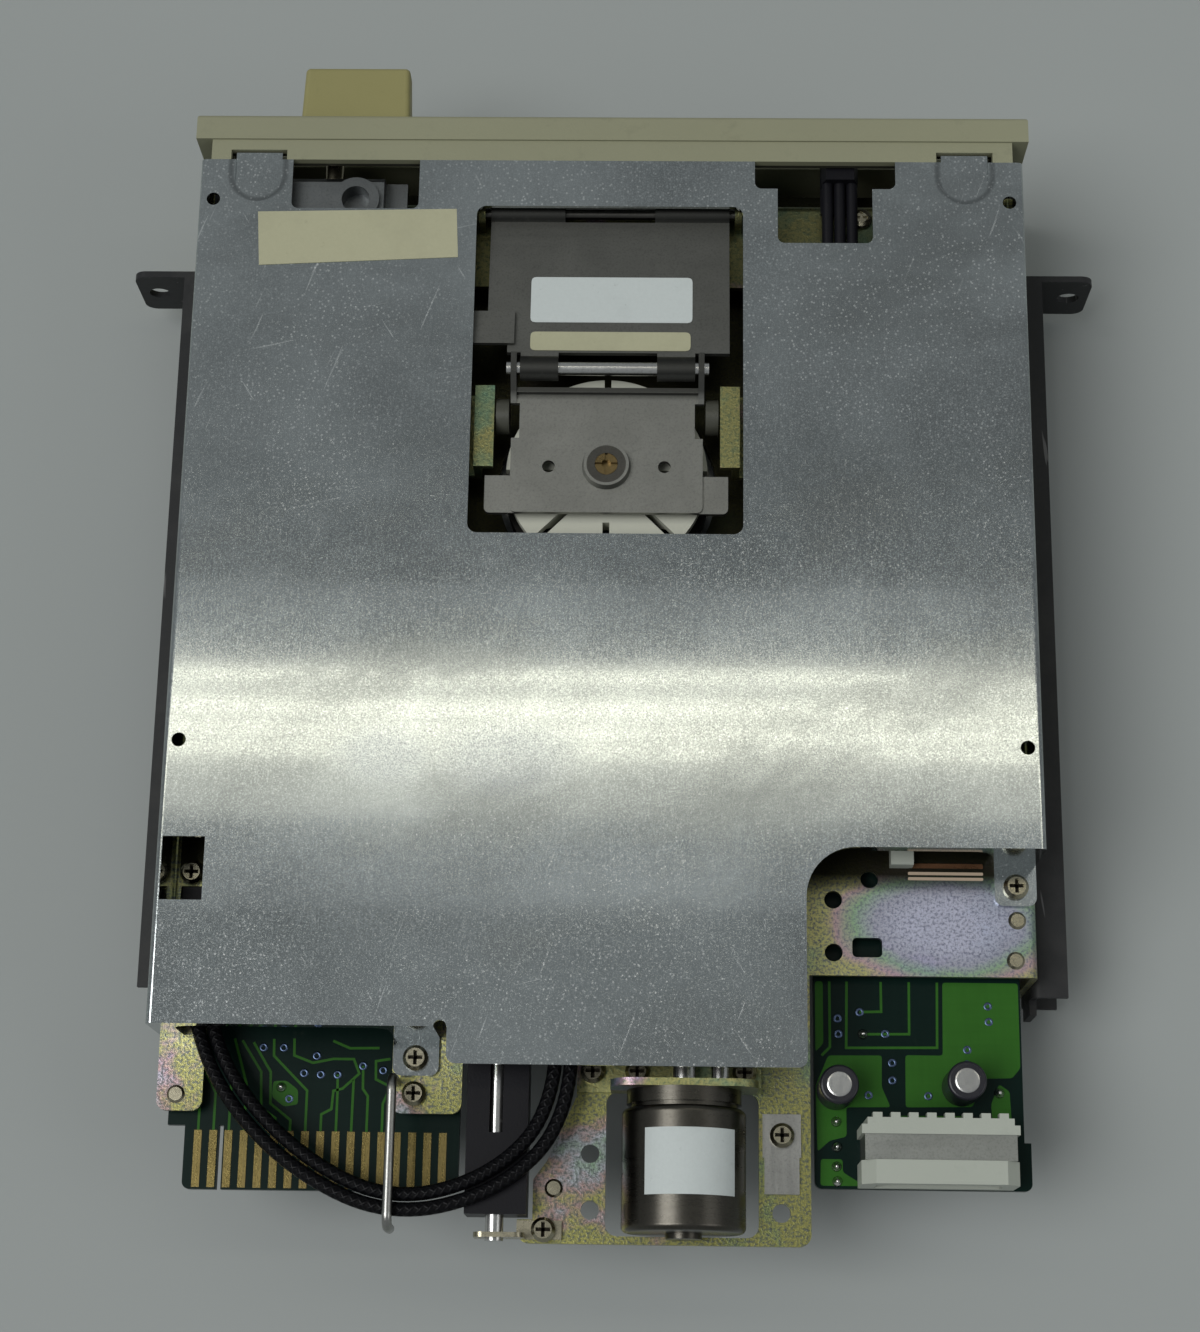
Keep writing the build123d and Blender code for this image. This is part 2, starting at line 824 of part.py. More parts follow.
def cross_screws(spots, head_r, head, shank_r, length):
    """Pan-head screws with a cross recess, standing on the given seats."""
    with BuildPart() as screws:
        for x, y, seat in spots:
            with Locations((x, y, seat - length)):
                Cylinder(shank_r, length, align=(Align.CENTER, Align.CENTER, Align.MIN))
            with BuildSketch(Plane.XY.offset(seat)):
                with Locations((x, y)):
                    Circle(head_r)
            extrude(amount=head / 2)
            with BuildSketch(Plane.XY.offset(seat + head / 2)):
                with Locations((x, y)):
                    Circle(head_r)
            extrude(amount=head / 2, taper=35)
            with BuildSketch(Plane.XY.offset(seat + head - pan_recess)):
                with Locations((x, y)):
                    Rectangle(pan_cross_length, pan_cross)
                    Rectangle(pan_cross, pan_cross_length)
            extrude(amount=pan_recess, mode=Mode.SUBTRACT)
    return screws.part


shield_seat = deck_top + shield_sheet
shield_screws = cross_screws(
    [(*right_screw, shield_seat), (*left_screw, shield_seat)],
    shield_screw_r, shield_screw_head, screw_shank_r, screw_length,
)
shield_screws.label = "shield_screws"
export_step(shield_screws, "parts/shield_screws.step")

panhead_screws = cross_screws(pan_spots, pan_r, pan_head, screw_shank_r, screw_length)
panhead_screws.label = "panhead_screws"
export_step(panhead_screws, "parts/panhead_screws.step")

# Bezel: a plate with a narrower hollow body behind it, the disk slot and the finger recess
with BuildPart() as front_bezel:
    with BuildSketch(Plane.XZ.offset(-bezel_plate_rear)):
        with Locations((0, bezel_height / 2)):
            Rectangle(2 * bezel_half, bezel_height)
    extrude(amount=bezel_plate_rear - bezel_front)
    fillet(faces().sort_by(Axis.Y)[0].edges(), radius=bezel_edge_r)
    with BuildSketch(Plane.XZ.offset(-tray_front)):
        with Locations((0, (bezel_body_low + body_height) / 2)):
            Rectangle(2 * bezel_body_half, body_height - bezel_body_low)
    extrude(amount=tray_front - bezel_plate_rear)
    with BuildSketch(Plane.XZ.offset(-tray_front)):
        with Locations((0, (bezel_body_low + body_height) / 2)):
            Rectangle(2 * (bezel_body_half - bezel_side), body_height - bezel_body_low - 2 * bezel_side)
    extrude(amount=tray_front - bezel_front - bezel_wall, mode=Mode.SUBTRACT)
    with BuildSketch(Plane.XZ.offset(-bezel_front)):
        with Locations((0, (finger_low + finger_high) / 2)):
            RectangleRounded(2 * finger_half, finger_high - finger_low, finger_r)
    extrude(amount=-finger_depth, mode=Mode.SUBTRACT)
    with BuildSketch(Plane.XZ.offset(-tray_front)):
        with Locations((0, (disk_slot_low + disk_slot_high) / 2)):
            Rectangle(2 * disk_slot_half, disk_slot_high - disk_slot_low)
        with Locations((lamp_x, lamp_z)):
            Circle(lamp_r + slip)
    extrude(amount=tray_front - bezel_front + overrun, mode=Mode.SUBTRACT)
    slot_rims = edges().filter_by(Axis.X).filter_by(lambda e: abs(e.center().Y - bezel_front) < seat_gap)
    slot_rims = slot_rims.filter_by(lambda e: disk_slot_low - slip < e.center().Z < disk_slot_high + slip)
    chamfer(slot_rims, length=disk_slot_flare)
    with BuildSketch(Plane.XZ.offset(-tray_front)):
        with Locations((lever_x, lever_z)):
            Circle(lever_r + slip)
    extrude(amount=tray_front - bezel_front + overrun, mode=Mode.SUBTRACT)
    with BuildSketch(Plane.XY.offset(body_height + overrun)):
        with Locations((tongue_x, tray_front), (-tongue_x, tray_front)):
            Rectangle(2 * notch_half, notch_depth, align=(Align.CENTER, Align.MAX))
    extrude(amount=-bezel_side - overrun, mode=Mode.SUBTRACT)
front_bezel.part.label = "front_bezel"
export_step(front_bezel.part, "parts/front_bezel.step")

# Indicator lamp in its black holder on the front beam
with BuildPart() as activity_led:
    with BuildSketch(Plane.XZ.offset(-holder_front)):
        with Locations((lamp_x, lamp_z)):
            Circle(lamp_r)
    extrude(amount=holder_front - lamp_front)
    fillet(faces().sort_by(Axis.Y)[0].edges(), radius=lamp_r / 2)
activity_led.part.label = "activity_led"
export_step(activity_led.part, "parts/activity_led.step")

with BuildPart() as led_holder:
    with BuildSketch(Plane.XZ.offset(-holder_rear)):
        with BuildLine():
            Polyline(
                (lamp_x - holder_half, beam_top), (lamp_x + holder_half, beam_top),
                (lamp_x + holder_half, lamp_z),
                (lamp_x + lamp_r, holder_top), (lamp_x - lamp_r, holder_top),
                (lamp_x - holder_half, lamp_z), close=True,
            )
        make_face()
    extrude(amount=holder_rear - holder_front)
    with BuildSketch(Plane.XY.offset(beam_top)):
        with Locations((lamp_x, holder_rear)):
            Rectangle(
                2 * holder_half, beam_front - holder_rear + 2 * steel, align=(Align.CENTER, Align.MIN)
            )
    extrude(amount=steel)
led_holder.part.label = "led_holder"
export_step(led_holder.part, "parts/led_holder.step")

with BuildPart() as led_leads:
    with BuildSketch(Plane.XZ.offset(-holder_rear)):
        with Locations((lamp_x, lamp_z)):
            with GridLocations(lead_pitch, 0, 3, 1):
                Circle(lead_r)
    extrude(amount=holder_rear - lead_end)
led_leads.part.label = "led_leads"
export_step(led_leads.part, "parts/led_leads.step")

# Front beam: carries the clamp's pivot lugs and the lamp
with BuildPart() as front_beam:
    with BuildSketch(Plane.YZ.offset(-carrier_end)):
        with BuildLine():
            Polyline(
                (beam_front, beam_low - beam_lip), (beam_front, beam_top), (beam_rear, beam_top),
                (beam_rear, beam_low),
                (beam_front + steel, beam_low), (beam_front + steel, beam_low - beam_lip), close=True,
            )
        make_face()
        fillet(vertices().group_by(Axis.X)[0].sort_by(Axis.Y)[-1], radius=bend)
    extrude(amount=carrier_end + beam_left)
    with BuildSketch(Plane.YZ.offset(-lug_inner - steel)):
        with Locations((pivot_y, beam_top)):
            Rectangle(2 * lug_half, pivot_z - beam_top, align=(Align.CENTER, Align.MIN))
        with Locations((pivot_y, pivot_z)):
            Circle(lug_half)
            Circle(pivot_r + slip, mode=Mode.SUBTRACT)
    near_lug = extrude(amount=steel)
    mirror(near_lug, about=Plane.YZ)
    with BuildSketch(Plane.XZ.offset(-lead_end - steel)):
        with Locations((lamp_x, beam_top)):
            Rectangle(2 * lead_tab_half, lead_tab_top - beam_top, align=(Align.CENTER, Align.MIN))
    extrude(amount=steel)
    with Locations((-post_x, post_front_y, beam_top)):
        Hole(trim_hole_r, depth=2 * steel)
front_beam.part.label = "front_beam"
export_step(front_beam.part, "parts/front_beam.step")

with BuildPart() as frame_posts:
    with BuildSketch(Plane.XY.offset(deck_top)):
        with Locations((0, (post_front_y + post_rear_y) / 2)):
            with GridLocations(2 * post_x, post_rear_y - post_front_y, 2, 2):
                Circle(post_r)
                Circle(trim_hole_r, mode=Mode.SUBTRACT)
    extrude(amount=beam_low - deck_top)
frame_posts.part.label = "frame_posts"
export_step(frame_posts.part, "parts/frame_posts.step")

# Zinc bracket with the lever's bearing, from the beam's end to the left front post
with BuildPart() as lever_bracket:
    with BuildSketch(Plane.XY.offset(beam_top)):
        with Locations((bracket_inner, bracket_front)):
            Rectangle(
                bracket_block_inner - bracket_inner, bracket_rear - bracket_front,
                align=(Align.MIN, Align.MIN),
            )
    extrude(amount=steel)
    with BuildSketch(Plane.XY.offset(bracket_low)):
        with Locations((bracket_block_inner, bracket_front)):
            Rectangle(
                bracket_block_outer - bracket_block_inner, bracket_block_rear - bracket_front,
                align=(Align.MIN, Align.MIN),
            )
    extrude(amount=bracket_top - bracket_low)
    chamfer(edges().filter_by(Axis.X).group_by(Axis.Z)[-1].sort_by(Axis.Y)[0], length=steel)
    with BuildSketch(Plane.XY.offset(beam_low)):
        with Locations((bracket_block_outer, bracket_front)):
            Rectangle(
                carrier_end - bracket_block_outer, bracket_rear - bracket_front,
                align=(Align.MIN, Align.MIN),
            )
    extrude(amount=steel)
    with BuildSketch(Plane.XY.offset(bracket_top)):
        with Locations((bracket_ring_x, bracket_ring_y)):
            Circle(bracket_ring_r)
    extrude(amount=bracket_ring_height)
    with Locations((bracket_ring_x, bracket_ring_y, bracket_top + bracket_ring_height)):
        Hole(bracket_ring_bore, depth=bracket_ring_height + bracket_ring_bore)
    with Locations((post_x, post_front_y, beam_top)):
        Hole(trim_hole_r, depth=2 * steel)
    with BuildSketch(Plane.XZ.offset(-bracket_front)):
        with Locations((lever_x, lever_z)):
            Circle(lever_r + slip)
    extrude(amount=bracket_front - bracket_rear, mode=Mode.SUBTRACT)
lever_bracket.part.label = "lever_bracket"
export_step(lever_bracket.part, "parts/lever_bracket.step")

# Clamp guides: a shelf from the rear posts to an upright wall with an inward lip beside the bracket
with BuildPart() as clamp_guide_right:
    with BuildSketch(Plane.XZ.offset(-guide_rear)):
        with BuildLine():
            Polyline(
                (-carrier_end, beam_low), (-guide_inner, beam_low), (-guide_inner, guide_top - steel),
                (-guide_lip, guide_top - steel), (-guide_lip, guide_top), (-guide_inner - steel, guide_top),
                (-guide_inner - steel, beam_top), (-carrier_end, beam_top), close=True,
            )
        make_face()
    extrude(amount=guide_rear - guide_front)
    with Locations((-post_x, post_rear_y, beam_top)):
        Hole(trim_hole_r, depth=2 * steel)
    with BuildSketch(Plane.YZ.offset(-guide_inner)):
        with Locations((roller_y, roller_z)):
            Circle(roller_pin_r + slip)
    extrude(amount=-steel, mode=Mode.SUBTRACT)
clamp_guide_right.part.label = "clamp_guide_right"
export_step(clamp_guide_right.part, "parts/clamp_guide_right.step")

with BuildPart() as clamp_guide_left:
    add(mirror(clamp_guide_right.part, about=Plane.YZ, mode=Mode.PRIVATE))
    with BuildSketch(Plane.XZ.offset(-guide_front)):
        with Locations((lever_x, lever_z)):
            Circle(2 * lever_r)
            with Locations((0, 0)):
                Rectangle(4 * lever_r, lever_z - beam_low, align=(Align.CENTER, Align.MAX))
            Circle(lever_r + slip, mode=Mode.SUBTRACT)
    extrude(amount=steel)
    with BuildSketch(Plane.XZ.offset(-guide_front)):
        with Locations((lever_x, lever_z)):
            Rectangle(2 * lever_r + 2 * seat_gap, 2 * lever_r + 2 * seat_gap)
    extrude(amount=guide_front - shaft_rear - seat_gap, mode=Mode.SUBTRACT)
clamp_guide_left.part.label = "clamp_guide_left"
export_step(clamp_guide_left.part, "parts/clamp_guide_left.step")

with BuildPart() as guide_rollers:
    with BuildSketch(Plane.YZ.offset(roller_inner)):
        with Locations((roller_y, roller_z)):
            Circle(roller_r)
    near_roller = extrude(amount=roller_outer - roller_inner)
    with BuildSketch(Plane.YZ.offset(roller_outer)):
        with Locations((roller_y, roller_z)):
            Circle(roller_pin_r)
    near_pin = extrude(amount=guide_inner + steel - roller_outer)
    mirror(near_roller, about=Plane.YZ)
    mirror(near_pin, about=Plane.YZ)
guide_rollers.part.label = "guide_rollers"
export_step(guide_rollers.part, "parts/guide_rollers.step")

with BuildPart() as clamp_pivot_pin:
    with BuildSketch(Plane.YZ.offset(-lug_inner - steel)):
        with Locations((pivot_y, pivot_z)):
            Circle(pivot_r)
    extrude(amount=2 * (lug_inner + steel))
clamp_pivot_pin.part.label = "clamp_pivot_pin"
export_step(clamp_pivot_pin.part, "parts/clamp_pivot_pin.step")

# Turning lever: knob, and a shaft that ends in the lifting cam
with BuildPart() as lever_knob:
    with BuildSketch(Plane.XZ.offset(-bezel_front + seat_gap)):
        with Locations((lever_x + (knob_outer_reach - knob_inner_reach) / 2, (knob_low + knob_high) / 2)):
            Rectangle(knob_outer_reach + knob_inner_reach, knob_high - knob_low)
    extrude(amount=bezel_front - seat_gap - knob_front, taper=knob_draft)
    fillet(edges().filter_by(lambda e: e.center().Y < bezel_front - overrun), radius=knob_edge_r)
    with BuildSketch(Plane.XZ.offset(-bezel_front + seat_gap)):
        with Locations((lever_x, lever_z)):
            Circle(lever_r)
    extrude(amount=bezel_front - seat_gap - shaft_front, mode=Mode.SUBTRACT)
lever_knob.part.label = "lever_knob"
export_step(lever_knob.part, "parts/lever_knob.step")

cam_points = []
for cam_angle, cam_rise in zip(cam_angles, cam_rise_shares):
    cam_reach = cam_low_r + (cam_high_r - cam_low_r) * cam_rise
    cam_turn = math.radians(cam_angle)
    cam_points.append((cam_reach * math.sin(cam_turn), cam_reach * math.cos(cam_turn)))

with BuildPart() as lever_shaft:
    with BuildSketch(Plane.XZ.offset(-shaft_rear)):
        with Locations((lever_x, lever_z)):
            Circle(lever_r)
    extrude(amount=shaft_rear - shaft_front)
    with BuildSketch(Plane((lever_x, cam_rear, lever_z), x_dir=(1, 0, 0), z_dir=(0, -1, 0))):
        with BuildLine():
            Spline(*cam_points, periodic=True)
        make_face()
    extrude(amount=cam_rear - cam_front)
lever_shaft.part.label = "lever_shaft"
export_step(lever_shaft.part, "parts/lever_shaft.step")

# Clamp plate: hinged at its front, raised at rest, with a finger over the cam
clamp_plane = Plane(
    (0, pivot_y, pivot_z), x_dir=(1, 0, 0), z_dir=(0, -math.sin(raise_turn), math.cos(raise_turn))
)
knuckle_r = pivot_r + slip + knuckle_wall
rod_knuckle_r = hinge_r + slip + knuckle_wall
with BuildPart() as clamp_plate:
    with BuildSketch(clamp_plane.offset(-clamp_sheet / 2)):
        with Locations((0, knuckle_r)):
            Rectangle(2 * clamp_half, clamp_rear - knuckle_r, align=(Align.CENTER, Align.MIN))
        with Locations((clamp_half, clamp_rear)):
            Rectangle(2 * step_half, step_depth, align=(Align.CENTER, Align.MAX), mode=Mode.SUBTRACT)
        for side in (1, -1):
            with Locations((side * (knuckle_inner + clamp_half) / 2, 0)):
                Rectangle(clamp_half - knuckle_inner, 2 * knuckle_r, align=(Align.CENTER, Align.MIN))
            with Locations((side * (lug_near + lug_far) / 2, clamp_reach)):
                Rectangle(
                    lug_far - lug_near, 2 * (clamp_reach - clamp_rear), align=(Align.CENTER, Align.MAX)
                )
    extrude(amount=clamp_sheet)
    with BuildSketch(clamp_plane.offset(clamp_sheet / 2)):
        with Locations((finger_inner, finger_from)):
            Rectangle(finger_outer - finger_inner, finger_to - finger_from, align=(Align.MIN, Align.MIN))
    extrude(amount=finger_sheet)
    with BuildSketch(Plane.YZ.offset(knuckle_inner)):
        with Locations((pivot_y, pivot_z)):
            Circle(knuckle_r)
    near_knuckle = extrude(amount=clamp_half - knuckle_inner)
    mirror(near_knuckle, about=Plane.YZ)
    with BuildSketch(Plane.YZ.offset(lug_near)):
        with Locations((hinge_y, hinge_z)):
            Circle(rod_knuckle_r)
    near_rod_lug = extrude(amount=lug_far - lug_near)
    mirror(near_rod_lug, about=Plane.YZ)
    with BuildSketch(Plane.YZ):
        with Locations((pivot_y, pivot_z)):
            Circle(pivot_r + slip)
        with Locations((hinge_y, hinge_z)):
            Circle(hinge_r + slip)
    extrude(amount=clamp_half + overrun, both=True, mode=Mode.SUBTRACT)
clamp_plate.part.label = "clamp_plate"
export_step(clamp_plate.part, "parts/clamp_plate.step")

# Clamp bracket: stays level on the hinge rod and carries the hub's bearing
with BuildPart() as clamp_bracket:
    with BuildSketch(Plane.XY.offset(plate_low)):
        with BuildLine():
            half_outline = Polyline(
                (0, neck_front), (neck_half, neck_front), (neck_half, neck_rear), (wide_half, neck_rear),
                (wide_half, wing_rear), (0, wing_rear),
            )
            mirror(half_outline, about=Plane.YZ)
        make_face()
        with Locations((dot_hole_x, hub_y), (-dot_hole_x, hub_y)):
            Circle(dot_hole_r, mode=Mode.SUBTRACT)
    extrude(amount=clamp_sheet)
    with BuildSketch(Plane.XY.offset(plate_low - wing_drop)):
        with Locations((wide_half, wing_front)):
            Rectangle(wing_half - wide_half, wing_rear - wing_front, align=(Align.MIN, Align.MIN))
    near_wing = extrude(amount=clamp_sheet)
    mirror(near_wing, about=Plane.YZ)
    with BuildSketch(Plane.XY.offset(plate_top)):
        with Locations((0, neck_front)):
            Rectangle(2 * ear_inner, neck_rib, align=(Align.CENTER, Align.MIN))
    extrude(amount=neck_rib)
    with BuildSketch(Plane.YZ.offset(ear_inner)):
        with BuildLine():
            Polyline(
                (ear_front, plate_low), (ear_front, ear_top), (hinge_y + hinge_r, ear_top),
                (ear_rear, plate_top), (ear_rear, plate_low), close=True,
            )
        make_face()
        with Locations((hinge_y, hinge_z)):
            Circle(hinge_r, mode=Mode.SUBTRACT)
    near_ear = extrude(amount=clamp_sheet)
    mirror(near_ear, about=Plane.YZ)
    with BuildSketch(Plane.XY.offset(plate_low)):
        with Locations((0, (neck_front + ear_rear) / 2)):
            Rectangle(2 * (ear_inner + clamp_sheet), ear_rear - neck_front)
    extrude(amount=clamp_sheet)
    with BuildSketch(Plane.XY.offset(plate_top)):
        with Locations((0, hub_y)):
            Circle(collar_r)
    extrude(amount=collar_height, taper=12)
    with Locations((0, hub_y, plate_top + collar_height)):
        Hole(bearing_r, depth=collar_height + clamp_sheet)
    fillet(edges().filter_by(Axis.Z).group_by(Axis.Y)[-1], radius=clamp_sheet)
clamp_bracket.part.label = "clamp_bracket"
export_step(clamp_bracket.part, "parts/clamp_bracket.step")

with BuildPart() as clamp_hinge_pin:
    with BuildSketch(Plane.YZ.offset(-hinge_half)):
        with Locations((hinge_y, hinge_z)):
            Circle(hinge_r)
    extrude(amount=2 * hinge_half)
clamp_hinge_pin.part.label = "clamp_hinge_pin"
export_step(clamp_hinge_pin.part, "parts/clamp_hinge_pin.step")

with BuildPart() as clamp_bearing:
    with BuildSketch(Plane.XY.offset(plate_low)):
        with Locations((0, hub_y)):
            Circle(bearing_r)
            Circle(stem_r + slip, mode=Mode.SUBTRACT)
    extrude(amount=clamp_sheet + collar_height)
clamp_bearing.part.label = "clamp_bearing"
export_step(clamp_bearing.part, "parts/clamp_bearing.step")

# Clamp hub: a white flanged cone with radial slots on a brass stem
hub_boss_top = plate_low - seat_gap
with BuildPart() as clamp_hub:
    with BuildSketch(Plane.XZ.offset(-hub_y)):
        with BuildLine():
            Polyline(
                (0, hub_rest_z - hub_cone_depth), (hub_cone_low_r, hub_rest_z - hub_cone_depth),
                (hub_cone_r, hub_rest_z), (hub_flange_r, hub_rest_z),
                (hub_flange_r, hub_rest_z + hub_flange),
                (hub_boss_r, hub_rest_z + hub_flange), (hub_boss_r, hub_boss_top), (0, hub_boss_top),
                close=True,
            )
        make_face()
    revolve(axis=Axis((0, hub_y, 0), (0, 0, 1)))
    with BuildSketch(Plane.XY.offset(hub_rest_z + hub_flange)):
        with Locations((0, hub_y)):
            with PolarLocations(0, hub_slots):
                with Locations((hub_slot_inner, 0)):
                    Rectangle(hub_flange_r, hub_slot, align=(Align.MIN, Align.CENTER))
    extrude(amount=-hub_flange - hub_cone_depth, mode=Mode.SUBTRACT)
    with Locations((0, hub_y, hub_boss_top)):
        Hole(stem_r, depth=hub_boss_top - hub_rest_z)
clamp_hub.part.label = "clamp_hub"
export_step(clamp_hub.part, "parts/clamp_hub.step")

with BuildPart() as hub_stem:
    with BuildSketch(Plane.XY.offset(hub_rest_z)):
        with Locations((0, hub_y)):
            Circle(stem_r)
    extrude(amount=plate_top + collar_height - hub_rest_z)
    with Locations((0, hub_y, plate_top + collar_height)):
        Hole(stem_bore, depth=collar_height)
    with BuildSketch(Plane.XY.offset(plate_top + collar_height - stem_slot)):
        with Locations((0, hub_y)):
            Rectangle(2 * stem_r, stem_slot)
            Rectangle(stem_slot, 2 * stem_r)
    extrude(amount=stem_slot, mode=Mode.SUBTRACT)
hub_stem.part.label = "hub_stem"
export_step(hub_stem.part, "parts/hub_stem.step")

# Spindle: cupped hub on a shaft that runs in a flanged bearing housing
spindle_axis = Axis((0, spindle_y, 0), (0, 0, 1))
with BuildPart() as spindle_hub:
    with BuildSketch(Plane.XZ.offset(-spindle_y)):
        with BuildLine():
            Polyline(
                (spindle_r, hub_low), (rim_r, hub_low), (rim_r, rim_top), (cup_r, rim_top),
                (cup_r, cup_floor),
                (spindle_r, cup_floor), close=True,
            )
        make_face()
    revolve(axis=spindle_axis)
spindle_hub.part.label = "spindle_hub"
export_step(spindle_hub.part, "parts/spindle_hub.step")

with BuildPart() as spindle_shaft:
    with BuildSketch(Plane.XY.offset(rotor_low)):
        with Locations((0, spindle_y)):
            Circle(spindle_r)
    extrude(amount=cup_floor - rotor_low)
spindle_shaft.part.label = "spindle_shaft"
export_step(spindle_shaft.part, "parts/spindle_shaft.step")

with BuildPart() as spindle_bearing:
    with BuildSketch(Plane.XZ.offset(-spindle_y)):
        with BuildLine():
            Polyline(
                (spindle_r + slip, bearing_low), (bearing_tube_r, bearing_low),
                (bearing_tube_r, bearing_bore_floor - bearing_wall),
                (bearing_cup_r, bearing_bore_floor - bearing_wall),
                (bearing_cup_r, deck_under - bearing_wall), (bearing_flange_r, deck_under - bearing_wall),
                (bearing_flange_r, deck_under), (bearing_cup_r - bearing_wall, deck_under),
                (bearing_cup_r - bearing_wall, bearing_bore_floor),
                (spindle_r + slip, bearing_bore_floor), close=True,
            )
        make_face()
    revolve(axis=spindle_axis)
spindle_bearing.part.label = "spindle_bearing"
export_step(spindle_bearing.part, "parts/spindle_bearing.step")

with BuildPart() as motor_rotor:
    with BuildSketch(Plane.XZ.offset(-spindle_y)):
        with BuildLine():
            Polyline(
                (spindle_r, rotor_low), (rotor_r, rotor_low), (rotor_r, rotor_top),
                (rotor_r - rotor_rim, rotor_top),
                (rotor_r - rotor_rim, rotor_low + rotor_floor), (rotor_boss_r, rotor_low + rotor_floor),
                (rotor_boss_r, rotor_top), (spindle_r, rotor_top), close=True,
            )
        make_face()
    revolve(axis=spindle_axis)
motor_rotor.part.label = "motor_rotor"
export_step(motor_rotor.part, "parts/motor_rotor.step")

with BuildPart() as motor_board:
    with BuildSketch(Plane.XY.offset(motor_board_low)):
        with Locations((0, (motor_board_front + motor_board_rear) / 2)):
            RectangleRounded(2 * motor_board_half, motor_board_rear - motor_board_front, motor_board_r)
        with Locations((0, spindle_y)):
            Circle(bearing_tube_r + seat_gap, mode=Mode.SUBTRACT)
    extrude(amount=motor_board_sheet)
motor_board.part.label = "motor_board"
export_step(motor_board.part, "parts/motor_board.step")

with BuildPart() as motor_coils:
    with BuildSketch(Plane.XY.offset(motor_board_low - coil_height)):
        with Locations((0, spindle_y)):
            with PolarLocations(coil_radius, coil_count):
                Circle(coil_r)
                Circle(coil_bore, mode=Mode.SUBTRACT)
    extrude(amount=coil_height)
motor_coils.part.label = "motor_coils"
export_step(motor_coils.part, "parts/motor_coils.step")

with BuildPart() as spacers:
    with BuildSketch(Plane.XY.offset(motor_board_low + motor_board_sheet)):
        with Locations((0, (motor_board_front + motor_board_rear) / 2)):
            with GridLocations(
                2 * (motor_board_half - motor_spacer_inset),
                motor_board_rear - motor_board_front - 2 * motor_spacer_inset, 2, 2,
            ):
                Circle(spacer_r)
    extrude(amount=deck_under - motor_board_low - motor_board_sheet)
    with BuildSketch(Plane.XY.offset(board_top)):
        with Locations(*board_spacers):
            Circle(spacer_r)
    extrude(amount=deck_under - board_top)
spacers.part.label = "board_spacers"
export_step(spacers.part, "parts/board_spacers.step")

# Main board: two arms and a bridge under the deck, with the edge connector on the left arm
key_slot_x = contact_mid_x + (contact_count - 1) / 2 * contact_pitch - 3 * contact_pitch / 2
with BuildPart() as main_pcb:
    with BuildSketch(Plane.XY.offset(board_under)):
        with BuildLine():
            Polyline(
                (board_left, board_bridge_front), (board_left, board_shoulder_y),
                (board_edge_left, board_shoulder_y),
                (board_edge_left, board_rear), (board_edge_right, board_rear),
                (board_edge_right, board_bridge_rear),
                (board_arm_left, board_bridge_rear), (board_arm_left, board_arm_rear),
                (board_right, board_arm_rear),
                (board_right, board_trim_y), (board_trim_x, board_trim_y),
                (board_trim_x, board_bridge_front), close=True,
            )
        make_face()
        fillet(vertices().filter_by(lambda v: v.Y in (board_rear, board_arm_rear)), radius=board_r)
        with Locations((key_slot_x, board_rear)):
            Rectangle(
                key_slot_width, board_rear - board_shoulder_y,
                align=(Align.CENTER, Align.MAX), mode=Mode.SUBTRACT,
            )
    extrude(amount=board_sheet)
main_pcb.part.label = "main_pcb"
export_step(main_pcb.part, "parts/main_pcb.step")

with BuildPart() as edge_contacts:
    for contact_face in (board_top, board_under - contact_sheet):
        with BuildSketch(Plane.XY.offset(contact_face)):
            with Locations((contact_mid_x, contact_last_y - contact_length / 2)):
                with GridLocations(contact_pitch, 0, contact_count, 1):
                    Rectangle(contact_width, contact_length)
        extrude(amount=contact_sheet)
edge_contacts.part.label = "edge_contacts"
export_step(edge_contacts.part, "parts/edge_contacts.step")

# Power header: a white shroud open to the rear, waisted for a metal band, with a toothed front edge
power_top = board_top + power_height
power_mid_z = board_top + power_height / 2
with BuildPart() as power_connector:
    with BuildSketch(Plane.XZ.offset(-power_rear)):
        with BuildLine():
            Polyline(
                (power_x - power_half, board_top), (power_x + power_half, board_top),
                (power_x + power_half, power_top - power_corner),
                (power_x + power_half - power_corner, power_top),
                (power_x - power_half + power_corner, power_top),
                (power_x - power_half, power_top - power_corner),
                close=True,
            )
        make_face()
    extrude(amount=power_rear - power_band_rear)
    with BuildSketch(Plane.XZ.offset(-power_band_rear)):
        with Locations((power_x, board_top)):
            Rectangle(2 * power_neck_half, power_height - power_recess, align=(Align.CENTER, Align.MIN))
    extrude(amount=power_band_rear - power_band_front)
    with BuildSketch(Plane.XY.offset(board_top)):
        with Locations((power_x, power_front)):
            Rectangle(2 * power_neck_half, power_band_front - power_front, align=(Align.CENTER, Align.MIN))
        with Locations((power_x, power_band_front)):
            Rectangle(2 * power_half, tooth_width, align=(Align.CENTER, Align.MAX))
    extrude(amount=power_height)
    with BuildSketch(Plane.XY.offset(power_top - tooth_height)):
        with Locations((power_x, power_front - tooth_depth / 2)):
            with GridLocations(tooth_pitch, 0, tooth_count, 1):
                Rectangle(tooth_width, tooth_depth)
    extrude(amount=tooth_height)
    with BuildSketch(Plane.XZ.offset(-power_rear)):
        with Locations((power_x, power_mid_z)):
            Rectangle(2 * (power_neck_half - power_wall), power_height - 2 * power_wall - power_recess)
        chamfer(vertices().group_by(Axis.Y)[-1], length=power_corner)
    extrude(amount=power_depth, mode=Mode.SUBTRACT)
power_connector.part.label = "power_connector"
export_step(power_connector.part, "parts/power_connector.step")

